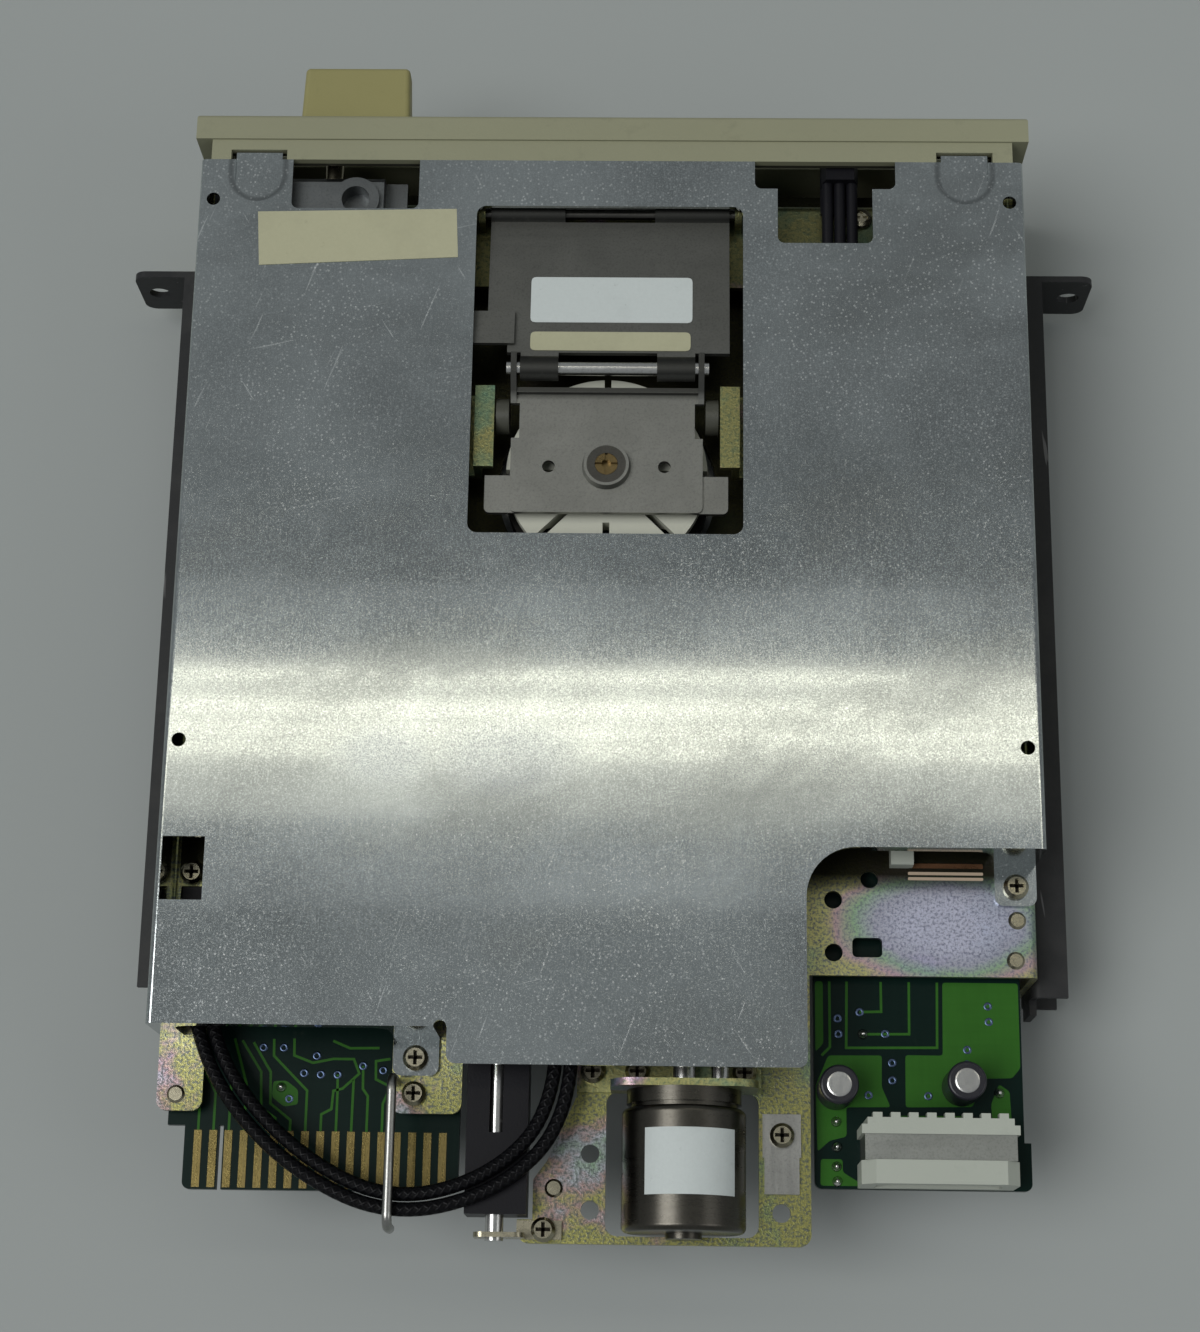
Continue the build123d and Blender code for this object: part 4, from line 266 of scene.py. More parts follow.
POCKET_MIDDLE = (62.7 * MM, -80.4 * MM)
POCKET_REACH = (4.2 * MM, 5.5 * MM)
POCKET_DEPTH = 0.5 * MM
WAVE_DEPTH = 0.1 * MM
ROLLING_DEPTH = 0.0004 * MM
SMEARS = (
    ((15.5 * MM, 26.8 * MM), (10.6 * MM, 5.6 * MM)),
    ((36.2 * MM, 26.5 * MM), (7.2 * MM, 4.6 * MM)),
)


def rolled_shield(base):
    """Rolled bare sheet: grain, film, wiped smears, scratches and pockets pressed round its tongues, their
    walls in painted shade.
    """
    shade = Shade("rolled_shield")
    fine = shade.spread(shade.noise(5200, 2, 0.6), 0.48, 0.66)
    grain = shade.spread(shade.noise(3600, 2, 0.6), 0.48, 0.66)
    drawn = shade.stretch((4200, 520, 520))
    mottle = shade.spread(shade.noise(1.0, 3, 0.65, drawn), 0.50, 0.74)
    rolling = shade.noise(1.0, 3, 0.6, shade.stretch((60, 2400, 60)))
    cloud = shade.noise(17, 6, 0.62, twist=0.5)
    film = shade.spread(shade.noise(30, 4, 0.6, shade.stretch((0.7, 1.4, 1), 0.3)), 0.50, 0.70)
    specks = shade.spread(shade.cells(1250), 0.30, 0.14)
    specks = specks * shade.spread(shade.noise(34, 5, 0.65), 0.34, 0.56)
    scratch = (
        shade.scratch((34, 1500, 30), 0.25, 0.725, 0.75)
        + shade.scratch((1400, 70, 30), 0.55, 0.715, 0.745)
        + shade.scratch((1700, 60, 30), -0.35, 0.705, 0.735)
    )
    scratch = scratch * shade.spread(shade.noise(11, 2), 0.48, 0.60)
    marks = shade.spread(0.5 * specks + 0.4 * scratch, 0.0, 1.0)
    smear = shade.calc("MAXIMUM", shade.patch(*SMEARS[0], 0.35), shade.patch(*SMEARS[1], 0.35))
    across = shade.calc("ABSOLUTE", shade.axis("X")) - POCKET_MIDDLE[0]
    along = shade.calc("MAXIMUM", shade.axis("Y") - POCKET_MIDDLE[1], 0.0)
    pocket = shade.spread(shade.calc("SQRT", across * across + along * along), *POCKET_REACH)
    pocket_wall_shade = 4 * pocket * (1 - pocket)
    body = shade.blend(shade.spread(cloud, 0.36, 0.66), tone(base, 0.7), tone(base, 1.18))
    body = shade.blend(0.6 * grain, body, tone(base, 1.4))
    body = shade.blend(0.3 * mottle, body, tone(base, 1.5))
    body = shade.blend(0.65 * film, body, tone(base, 0.58))
    body = shade.blend(0.18 * smear, body, (0.62, 0.67, 0.74))
    # painted shade: the pockets' sloping walls are darkened
    body = shade.blend(0.6 * pocket_wall_shade, body, tone(base, 0.35))
    shade.set("Base Color", shade.blend(0.7 * marks, body, (0.70, 0.72, 0.71)))
    shade.set("Metallic", 1.0 - 0.45 * marks)
    fresh = 0.032 + 0.02 * cloud + 0.012 * rolling + 0.15 * fine + 0.04 * mottle
    shade.set("Roughness", fresh + 0.08 * film + 0.06 * smear + 0.15 * marks)
    height = POCKET_DEPTH * pocket + WAVE_DEPTH * shade.noise(9, 2) + ROLLING_DEPTH * rolling
    shade.relief(height, 1.0, 1.0)
    return shade.material


ALONG = (900, 40, 900)
ACROSS = (60, 900, 60)
DECK_PALE = ((-58.0 * MM, 51.0 * MM), (12.0 * MM, 6.5 * MM))
# where the painted bay shade fades in, in Y: full at or in front of the first row, none behind the second
BAY_SHADE_REAR = (42.5 * MM, 46.0 * MM)
FOOT_FRONT = (70.0 * MM, 82.0 * MM)


def yellow_zinc(name, bloom_tones, bay_shade=0.0):
    """Yellow chromated zinc: rainbow bloom, fine crystals, rubbed spots and painted shade over the deck's
    bay under the cover.
    """
    green, yellow, pink, violet = bloom_tones
    shade = Shade(name)
    bloom = shade.noise(42, 4, 0.5, twist=0.6) + 0.16 * shade.noise(520, 3) - 0.09
    grain = shade.noise(2000, 3, 0.7)
    rubbed = shade.spread(shade.noise(60, 6, 0.7), 0.62, 0.78)
    stops = ((0.30, green), (0.43, yellow), (0.54, yellow), (0.60, pink), (0.65, violet), (0.72, green))
    base = shade.ramp(bloom, stops)
    base = shade.blend(0.3 * rubbed, base, tone(yellow, 1.1))
    base = shade.blend(0.8 * shade.spread(grain, 0.46, 0.68), base, tone(green, 0.4))
    if bay_shade:
        pale = shade.patch(*DECK_PALE, 0.75, 0.5)
        rings = (
            (0.0, yellow), (0.14, pink), (0.3, green), (0.48, tone(violet, 0.8)), (0.8, tone(violet, 1.1)),
        )
        base = shade.blend(0.85 * shade.spread(pale, 0.0, 0.12), base, shade.ramp(pale, rings))
        base = shade.blend(0.8 * shade.spread(grain, 0.46, 0.64), base, tone(violet, 0.3))
        foot = shade.spread(shade.axis("Y"), *FOOT_FRONT)
        base = shade.blend(0.7 * foot, base, shade.blend(1.0, base, (0.44, 0.45, 0.27), "MULTIPLY"))
        # painted shade: in front of the bay's rear edge the deck's top, inside the side walls, is darkened
        # nearly to black
        bay = shade.spread(shade.axis("Y"), *BAY_SHADE_REAR[::-1]) * (shade.axis("Z") > DECK_FACE)
        bay = bay * (shade.calc("ABSOLUTE", shade.axis("X")) < WALL_INNER)
        base = shade.blend(bay_shade * bay, base, tone(yellow, 0.03))
    shade.set("Base Color", base)
    shade.set("Metallic", 1.0 - 0.25 * grain)
    shade.set("Roughness", 0.14 + 0.3 * grain + 0.1 * bloom)
    shade.relief(grain, 0.7, 0.08 * MM)
    return shade.material


def plated_steel(name, base, rough, streaks=ALONG, grime=0.4, shade_bands=()):
    """Plated or ground steel: drawn streaks, thin tarnish, dark specks and, if asked, painted shade in
    bands about its pins.
    """
    shade = Shade(name)
    streak = shade.noise(1.0, 3, 0.6, shade.stretch(streaks))
    tarnish = shade.noise(120, 5, 0.65, twist=0.3)
    dust = shade.spread(shade.noise(700, 4, 0.7), 0.6, 0.78)
    grain = shade.spread(shade.noise(2600, 3, 0.7), 0.48, 0.74)
    body = shade.blend(tarnish, tone(base, 0.78), tone(base, 1.12))
    body = shade.blend(0.5 * grain, body, tone(base, 0.5))
    for pin, reach in shade_bands:
        # painted shade: a band about each given pin's row in Y is darkened
        far = shade.calc("ABSOLUTE", shade.axis("Y") - pin)
        body = shade.blend(0.9 * shade.spread(far, 1.2 * reach, 0.9 * reach), body, tone(base, 0.22))
    shade.set("Base Color", shade.blend(grime * dust, body, tone(base, 0.35)))
    shade.set("Metallic", 1.0 - 0.3 * dust)
    shade.set("Roughness", rough - 0.08 + 0.14 * streak + 0.1 * tarnish)
    shade.relief(streak + 0.5 * grain, 0.2, 0.03 * MM)
    return shade.material


def black_paint(base):
    """Black paint on rails: orange peel, dust and a few scratches down to grey."""
    shade = Shade("black_paint", Specular_IOR_Level=0.22)
    peel = shade.noise(900, 3, 0.6)
    dust = shade.spread(shade.noise(70, 6, 0.7), 0.45, 0.75)
    scratch = shade.scratch((700, 60, 700), 0.1, 0.70, 0.74)
    body = shade.blend(0.22 * dust, base, (0.10, 0.097, 0.092))
    shade.set("Base Color", shade.blend(0.55 * scratch, body, (0.2, 0.2, 0.2)))
    shade.set("Roughness", 0.38 + 0.2 * dust + 0.08 * peel)
    shade.relief(peel, 0.2, 0.06 * MM)
    return shade.material


def board_mask(name, base, rough):
    """Solder mask: a clear green coat over the glass weave, with thin and thick places."""
    shade = Shade(name, Specular_IOR_Level=0.1)
    warp = shade.noise(1.0, 1, 0.5, shade.stretch((1500, 90, 90)))
    weft = shade.noise(1.0, 1, 0.5, shade.stretch((90, 1500, 90)))
    weave = warp * weft
    coat = shade.noise(90, 4, 0.6)
    dust = shade.spread(shade.noise(420, 5, 0.7), 0.62, 0.8)
    body = shade.blend(coat, tone(base, 0.8), tone(base, 1.2))
    body = shade.blend(0.5 * weave, body, tone(base, 1.5))
    shade.set("Base Color", shade.blend(0.05 * dust, body, (0.16, 0.18, 0.13)))
    shade.set("Roughness", rough + 0.2 * dust + 0.1 * weave)
    shade.relief(weave + 0.5 * coat, 0.12, 0.04 * MM)
    return shade.material


def gold_plate(base):
    """Gold-plated contacts with wear marks along the plug's travel."""
    shade = Shade("gold_plate")
    wear = shade.spread(shade.noise(1.0, 4, 0.6, shade.stretch((2200, 70, 2200))), 0.45, 0.7)
    tarnish = shade.noise(420, 5, 0.65)
    pits = shade.spread(shade.noise(2200, 3, 0.7), 0.5, 0.72)
    body = shade.blend(tarnish, tone(base, 0.6), tone(base, 1.25))
    body = shade.blend(0.6 * pits, body, tone(base, 0.3))
    shade.set("Base Color", shade.blend(0.45 * wear, body, tone(base, 0.45)))
    shade.set("Metallic", 0.95 - 0.2 * wear)
    shade.set("Roughness", 0.24 + 0.2 * wear + 0.15 * pits)
    shade.relief(pits, 0.25, 0.04 * MM)
    return shade.material


def braided_sleeve():
    """Black braided sleeve: crossing strands along the cable's own map."""
    shade = Shade("braided_sleeve", Specular_IOR_Level=0.1)
    place = shade.node("ShaderNodeUVMap", {"uv_map": "UVMap"})
    along = 420.0 * shade.axis("X", place)
    round_about = 25.13 * shade.axis("Y", place)
    right_hand = shade.calc("SINE", along + round_about)
    left_hand = shade.calc("SINE", along - round_about)
    lift = shade.spread(shade.calc("MAXIMUM", right_hand, left_hand), -0.2, 1.0)
    lint = shade.spread(shade.noise(900, 4, 0.7), 0.58, 0.8)
    body = shade.blend(lift, (0.001, 0.001, 0.0015), (0.0035, 0.0036, 0.0045))
    shade.set("Base Color", shade.blend(0.1 * lint, body, (0.05, 0.05, 0.048)))
    shade.set("Roughness", 0.6 - 0.28 * lift)
    shade.relief(lift, 0.6, 0.2 * MM)
    return shade.material


def stuck_paper(name, base):
    """A bare label: matt paper with soft stains and a dirty rim."""
    shade = Shade(name, Specular_IOR_Level=0.3)
    fibre = shade.noise(1800, 4, 0.7)
    stain = shade.spread(shade.noise(70, 5, 0.65), 0.46, 0.75)
    fleck = shade.spread(shade.noise(700, 4, 0.7), 0.64, 0.76)
    body = shade.blend(fibre, tone(base, 0.92), tone(base, 1.06))
    body = shade.blend(0.4 * stain, body, tone(base, 0.72))
    shade.set("Base Color", shade.blend(0.35 * fleck, body, tone(base, 0.4)))
    shade.set("Roughness", 0.5 + 0.25 * fibre)
    shade.relief(fibre, 0.12, 0.04 * MM)
    return shade.material


def wound_copper():
    """Enamelled copper wire wound in rings."""
    shade = Shade("wound_copper", Coat_Weight=0.4, Coat_Roughness=0.2)
    inputs = {"Vector": shade.place, "Scale": 900.0, "Distortion": 1.0}
    turns = shade.node("ShaderNodeTexWave", {"wave_type": "RINGS"}, inputs)
    heat = shade.noise(150, 4)
    shade.set("Base Color", shade.blend(heat, (0.34, 0.13, 0.05), (0.52, 0.24, 0.10)))
    shade.set("Metallic", 0.8 - 0.2 * turns)
    shade.set("Roughness", 0.3 + 0.2 * turns)
    shade.relief(turns, 0.4, 0.1 * MM)
    return shade.material


def red_lens():
    """A dark red lamp, unlit, with a cloudy moulded lens."""
    shade = Shade("red_lens", Coat_Weight=0.6, Coat_Roughness=0.1, IOR=1.5)
    cloud = shade.noise(500, 3)
    shade.set("Base Color", shade.blend(cloud, (0.22, 0.012, 0.010), (0.42, 0.03, 0.02)))
    shade.set("Roughness", 0.16 + 0.1 * cloud)
    shade.relief(cloud, 0.1, 0.05 * MM)
    return shade.material


def ground_ceramic():
    """Ground ceramic sliders with lapping lines."""
    shade = Shade("ground_ceramic", Specular_IOR_Level=0.6)
    lapping = shade.noise(1.0, 3, 0.6, shade.stretch((200, 3000, 200)))
    shade.set("Base Color", shade.blend(lapping, (0.56, 0.54, 0.47), (0.66, 0.64, 0.58)))
    shade.set("Roughness", 0.2 + 0.15 * lapping)
    shade.relief(lapping, 0.1, 0.03 * MM)
    return shade.material


FINISHES = {}


def middle(node):
    """The middle of a CAD piece's box."""
    low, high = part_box(node)
    return (Vector(low) + Vector(high)) / 2


def finish(name):
    """The material of a finish, made once by the operator of the finishes."""
    return FINISHES[name]


# the row in Y and the height in Z that bound the painted shade on the bezel's inner side
BEZEL_SHADE_LIMITS = (-87.4 * MM, 39.8 * MM)
CURL_SHADE_REACH = 1.7 * MM
EAR_SHADE_REACH = 4.5 * MM
NODE_FINISHES = {
    "bezel": ["front_bezel"],
    "knob": ["lever_knob"],
    "lamp": ["activity_led"],
    "shield": ["top_shield"],
    "zinc": ["main_chassis"],
    "bare_zinc": ["stepper_bracket"],
    # painted shade: the front beam and the clamp guides sit in the front bay and take darkened copies of
    # the chassis zinc
    "brown_zinc": ["front_beam"],
    "gold_zinc": ["clamp_guide_left", "clamp_guide_right"],
    "dark_cast": ["lever_bracket", "spindle_bearing"],
    "plate": ["clamp_plate"],
    "bracket": ["clamp_bracket"],
    "screws": [
        "chassis_rivets", "shield_screws", "panhead_screws", "frame_posts", "board_spacers", "rail_screws",
        "rod_end_clip", "lever_shaft",
    ],
    "ground": [
        "clamp_hinge_pin", "spindle_shaft", "guide_rod_main", "guide_rod_side", "power_pins", "lead_screw",
    ],
    "dull_steel": ["cable_hook", "leaf_plate"],
    # the clamp's pivot pin takes this dark steel as painted shade; the other pieces here are dark steel
    "dark_steel": ["clamp_pivot_pin", "clamp_bearing", "spindle_hub", "motor_rotor"],
    "tinned": ["power_band"],
    "can": ["stepper_can"],
    "brass": ["hub_stem"],
    "copper": ["motor_coils"],
    "gold": ["edge_contacts"],
    "board": ["main_pcb", "motor_board"],
    "white": ["power_connector", "sensor_connector"],
    "hub": ["clamp_hub", "screw_follower"],
    "roller": ["guide_rollers"],
    "black": [
        "led_holder", "led_leads", "pcb_chips", "head_connector", "rod_clips", "screw_bearing", "carriage",
        "head_arm",
    ],
    "rails": ["side_rail_left", "side_rail_right"],
    "sleeve": ["capacitors"],
    "ceramic": ["lower_head", "upper_head"],
}


class DRIVE_OT_finishes(bpy.types.Operator):
    """Makes every finish and gives each CAD piece its own"""

    bl_idname = "drive.finishes"
    bl_label = "Finishes"

    def execute(self, context):
        colours = context.scene.drive_colours
        bloom = (colours.zinc_green, colours.zinc_yellow, colours.zinc_pink, colours.zinc_violet)
        pivot = middle("clamp_pivot_pin")[1]
        hinge = middle("clamp_hinge_pin")[1]
        # painted shade in bands: on the clamp plate's curls about both pins and on the bracket's ears
        # about the hinge pin
        plate_curl_shade = ((pivot, CURL_SHADE_REACH), (hinge, CURL_SHADE_REACH))
        bracket_ear_shade = ((hinge, EAR_SHADE_REACH),)
        FINISHES.update(
            bezel=moulded_plastic("bezel_plastic", colours.bezel, 0.35, 0.52, inner=BEZEL_SHADE_LIMITS),
            knob=moulded_plastic("knob_plastic", colours.knob, 0.3, 0.48),
            lamp=red_lens(),
            shield=rolled_shield(colours.shield),
            # 0.97 is the strength of the painted shade over the bay
            zinc=yellow_zinc("deck_zinc", bloom, 0.97),
            bare_zinc=yellow_zinc("bracket_zinc", [tone(part, 0.75) for part in bloom]),
            # the chassis zinc darkened to 0.3 and 0.6 as painted shade for the recessed beam and guides
            brown_zinc=yellow_zinc("beam_zinc", [tone(part, 0.3) for part in bloom]),
            gold_zinc=yellow_zinc("guide_zinc", [tone(part, 0.6) for part in bloom]),
            dark_cast=plated_steel("dark_casting", (0.15, 0.16, 0.162), 0.36, (300, 300, 300), 0.7),
            plate=plated_steel("clamp_plate_steel", colours.plate, 0.5, ACROSS, 0.5, plate_curl_shade),
            bracket=plated_steel(
                "clamp_bracket_steel", tone(colours.plate, 1.5), 0.42, ACROSS, 0.4, bracket_ear_shade
            ),
            screws=plated_steel("screw_plating", (0.40, 0.37, 0.27), 0.22, (500, 500, 500), 0.2),
            # painted shade: near-black steel for the bars on the floor of the screws' cross recesses
            recess=plated_steel("screw_recess", (0.02, 0.018, 0.014), 0.5, (500, 500, 500), 0.2),
            ground=plated_steel("ground_steel", (0.62, 0.62, 0.60), 0.18, grime=0.25),
            dull_steel=plated_steel("dull_steel", (0.36, 0.36, 0.34), 0.26, grime=0.3),
            dark_steel=plated_steel("dark_steel", (0.09, 0.088, 0.08), 0.3, grime=0.3),
            tinned=plated_steel("tinned_band", (0.30, 0.312, 0.29), 0.34, (50, 900, 50), 0.3),
            can=plated_steel("drawn_can", (0.085, 0.08, 0.068), 0.25, (40, 1100, 40), 0.35),
            brass=plated_steel("turned_brass", (0.19, 0.14, 0.065), 0.25, (900, 900, 60), 0.4),
            copper=wound_copper(),
            gold=gold_plate(colours.gold),
            board=board_mask("board_mask", colours.board, 0.3),
            pour=board_mask("pour_mask", colours.copper_pour, 0.32),
            white=moulded_plastic("white_plastic", colours.white_plastic, 0.25, 0.5),
            hub=moulded_plastic("hub_plastic", colours.hub_plastic, 0.3, 0.5),
            roller=moulded_plastic("roller_plastic", (0.055, 0.056, 0.044), 0.3, 0.35),
            black=moulded_plastic("black_plastic", colours.black_plastic, 0.2, 0.42, 0.15),
            rails=black_paint(colours.black_paint),
            sleeve=moulded_plastic("shrink_sleeve", (0.012, 0.012, 0.017), 0.2, 0.3),
            ceramic=ground_ceramic(),
            braid=braided_sleeve(),
            paper=stuck_paper("bare_paper", colours.paper),
            old_paper=stuck_paper("yellowed_paper", colours.old_paper),
            solder=plated_steel("solder_tin", (0.70, 0.70, 0.67), 0.22, (600, 600, 600), 0.2),
            via=plated_steel("tinted_ring", (0.085, 0.12, 0.20), 0.3, (600, 600, 600), 0.3),
            strip=plated_steel("bare_copper", (0.50, 0.25, 0.13), 0.26, (40, 900, 40), 0.4),
            tan_film=moulded_plastic("tan_film", (0.42, 0.33, 0.24), 0.3, 0.4),
        )
        for name, nodes in NODE_FINISHES.items():
            for node in nodes:
                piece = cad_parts[node]
                piece.data.materials.clear()
                piece.data.materials.append(finish(name))
        return {"FINISHED"}


def alone():
    """Leaves nothing selected."""
    if bpy.context.object and bpy.context.object.mode != "OBJECT":
        bpy.ops.object.mode_set(mode="OBJECT")
    bpy.ops.object.select_all(action="DESELECT")


def settle(piece, name, finish_name, body=None, place=None):
    """Names a finished piece, moves its place into its mesh and lets it ride on a body, if given."""
    piece.name = name
    piece.data.name = name
    piece.data.transform((place or Matrix()) @ piece.matrix_world)
    piece.matrix_world = Matrix()
    piece.data.materials.clear()
    piece.data.materials.append(finish(finish_name))
    if body:
        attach(piece, body)


def closed():
    """The edited mesh with its faces turned outwards, out of edit mode."""
    bpy.ops.mesh.select_all(action="SELECT")
    bpy.ops.mesh.normals_make_consistent(inside=False)
    bpy.ops.object.mode_set(mode="OBJECT")
    return bpy.context.object


def shaped_plate(outline, thickness):
    """A thin plate: a disc with a corner for each point of its outline, drawn out and thickened."""
    alone()
    bpy.ops.mesh.primitive_circle_add(vertices=len(outline), radius=MM, fill_type="NGON")
    for corner, (x, y) in zip(bpy.context.object.data.vertices, outline):
        corner.co = (x, y, 0)
    bpy.ops.object.mode_set(mode="EDIT")
    bpy.ops.mesh.select_all(action="SELECT")
    bpy.ops.mesh.extrude_region_move(TRANSFORM_OT_translate={"value": (0, 0, thickness)})
    return closed()


def drawn_up(sides, radius, steps):
    """A disc drawn up in steps, each with its rise and the shrink of its rim."""
    alone()
    bpy.ops.mesh.primitive_circle_add(vertices=sides, radius=radius, fill_type="NGON")
    bpy.ops.object.mode_set(mode="EDIT")
    for rise, shrink in steps:
        bpy.ops.mesh.extrude_region_move(TRANSFORM_OT_translate={"value": (0, 0, rise)})
        bpy.ops.transform.resize(value=(shrink, shrink, 1))
    return closed()


def metres(outline):
    """An outline in millimetres as metres."""
    return [(x * MM, y * MM) for x, y in outline]


def joined(parts):
    """Several pieces made one."""
    alone()
    for part in parts:
        part.select_set(True)
    bpy.context.view_layer.objects.active = parts[0]
    if len(parts) > 1:
        bpy.ops.object.join()
    return bpy.context.object


def copies(model, places):
    """Copies of one modelled piece, each with its own mesh, and the model itself gone."""
    made = []
    for place in places:
        copy = model.copy()
        copy.data = model.data.copy()
        copy.data.transform(Matrix.Translation(place))
        bpy.context.collection.objects.link(copy)
        made.append(copy)
    bpy.data.objects.remove(model)
    return made


def rounded(outline, reach, steps=3):
    """An outline with each corner cut round over a short reach."""
    points = []
    for index, corner in enumerate(outline):
        here = Vector(corner)
        before = Vector(outline[index - 1]) - here
        after = Vector(outline[(index + 1) % len(outline)]) - here
        start = here + before.normalized() * min(reach, before.length / 3)
        end = here + after.normalized() * min(reach, after.length / 3)
        for step in range(steps + 1):
            share = step / steps
            points.append(start.lerp(here, share).lerp(here.lerp(end, share), share))
    return [(point.x, point.y) for point in points]


def ribbon(points, width):
    """The outline of a flat trace along a run of points."""
    left = []
    right = []
    for index, point in enumerate(points):
        here = Vector(point)
        before = here - Vector(points[index - 1]) if index else Vector(points[1]) - here
        after = Vector(points[index + 1]) - here if index + 1 < len(points) else before
        along = (before.normalized() + after.normalized()).normalized()
        side = Vector((-along.y, along.x)) * (width / 2 / max(0.5, along.dot(before.normalized())))
        left.append(here + side)
        right.append(here - side)
    return [(p.x, p.y) for p in left + right[::-1]]


CABLE_OUTER = [
    (4.3, 73.6, 34.2), (4.4, 85.0, 34.4), (15.6, 96.5, 34.4), (33.0, 100.7, 33.5),
    (49.8, 93.1, 31.4), (62.6, 80.2, 30.0), (68.2, 65.6, 29.3), (68.2, 55.4, 29.1),
]
CABLE_INNER = [
    (6.8, 73.6, 34.2), (7.1, 83.8, 34.4), (17.3, 94.3, 34.4), (33.0, 98.2, 33.5),
    (48.3, 91.0, 31.4), (60.6, 78.6, 30.0), (65.7, 65.1, 29.3), (65.7, 55.4, 29.1),
]


def cable_spline(name, route):
    """The cable's centre line: a smooth spline through the space between its route's points."""
    curve = bpy.data.curves.new(name, "CURVE")
    curve.dimensions = "3D"
    curve.resolution_u = 10
    spline = curve.splines.new("NURBS")
    spline.points.add(len(route) - 1)
    for point, (x, y, z) in zip(spline.points, route):
        point.co = (x * MM, y * MM, z * MM, 1)
    spline.order_u = 3
    spline.use_endpoint_u = True
    line = bpy.data.objects.new(name, curve)
    bpy.context.collection.objects.link(line)
    return line


class DRIVE_OT_cables(bpy.types.Operator):
    """Makes the two braided cables from the heads to the board"""

    bl_idname = "drive.cables"
    bl_label = "Head cables"

    def execute(self, context):
        diameter = context.scene.drive_sizes.cable_diameter
        for node, route in (("head_cable_upper", CABLE_OUTER), ("head_cable_lower", CABLE_INNER)):
            line = cable_spline(node + "_line", route)
            bare = bpy.data.meshes.new_from_object(line)
            bpy.data.meshes.remove(bare)
            line.data.bevel_depth = diameter / 2
            line.data.bevel_resolution = 4
            line.data.use_fill_caps = True
            alone()
            line.select_set(True)
            bpy.context.view_layer.objects.active = line
            bpy.ops.object.convert(target="MESH")
            sleeve = bpy.context.object
            settle(sleeve, node.replace("head_cable", "braided_cable"), "braid")
            bpy.ops.object.shade_smooth()
            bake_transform(sleeve)
            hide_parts(node)
        return {"FINISHED"}


COVER_LABEL = [(62.3, -72.9), (27.1, -73.6), (26.6, -64.3), (61.6, -62.6)]
WHITE_LABEL = [(-14.7, 13.3), (13.7, 13.3), (13.7, 22.4), (-14.7, 22.4)]
BEIGE_LABEL = [(-14.4, 24.3), (13.6, 24.3), (13.6, 28.0), (-14.4, 28.0)]
LABEL_CORNER = 0.9 * MM
CLAMP_PIVOT = (0, -75.2, 36.2)
CLAMP_RAISE = 5.9
CLAMP_SHEET = 1.0
CAN_AXIS = (-14.1, 31.0)
CAN_RADIUS = 10.1
CAN_LABEL_ROWS = (86.4, 96.9)
CAN_LABEL_SPAN = (-52, 38)


class DRIVE_OT_labels(bpy.types.Operator):
    """Sticks the bare labels on the cover, the clamp plate and the stepper motor"""

    bl_idname = "drive.labels"
    bl_label = "Bare labels"

    def execute(self, context):
        thickness = context.scene.drive_sizes.label_thickness
        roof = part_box("top_shield")[1][2]
        cover = shaped_plate(metres(COVER_LABEL), thickness)
        settle(cover, "cover_label", "old_paper", CHASSIS, Matrix.Translation((0, 0, roof)))
        on_plate = (
            Matrix.Translation(Vector(CLAMP_PIVOT) * MM)
            @ Matrix.Rotation(math.radians(CLAMP_RAISE), 4, "X")
            @ Matrix.Translation((0, 0, CLAMP_SHEET / 2 * MM))
        )
        for name, outline, paper in (
            ("clamp_label_white", WHITE_LABEL, "paper"), ("clamp_label_beige", BEIGE_LABEL, "old_paper"),
        ):
            corners = rounded(metres(outline), LABEL_CORNER)
            settle(shaped_plate(corners, thickness), name, paper, CLAMP_ARM, on_plate)
        self.wrap_can(thickness)
        return {"FINISHED"}

    def wrap_can(self, thickness):
        """A grid rolled round the can's top."""
        alone()
        bpy.ops.mesh.primitive_grid_add(x_subdivisions=24, y_subdivisions=6, size=1.0)
        wrap = bpy.context.object
        first, last = CAN_LABEL_ROWS
        low, high = CAN_LABEL_SPAN
        x, z = CAN_AXIS
        for vertex in wrap.data.vertices:
            turn = math.radians(low + (high - low) * (vertex.co.x + 0.5))
            row = first + (last - first) * (vertex.co.y + 0.5)
            place = Vector((x + CAN_RADIUS * math.sin(turn), row, z + CAN_RADIUS * math.cos(turn)))
            vertex.co = place * MM
        thicken = wrap.modifiers.new("paper", "SOLIDIFY")
        thicken.thickness = thickness
        thicken.offset = 1.0
        bpy.ops.object.modifier_apply(modifier=thicken.name)
        settle(wrap, "motor_label", "paper", CHASSIS)


CONTACT_FIRST = 66.27
CONTACT_PITCH = 2.54
CONTACT_START = 86.2


def contact(index, row=CONTACT_START):
    """A point in line with an edge contact, at its inner end unless another row is given."""
    return (CONTACT_FIRST - CONTACT_PITCH * index, row)


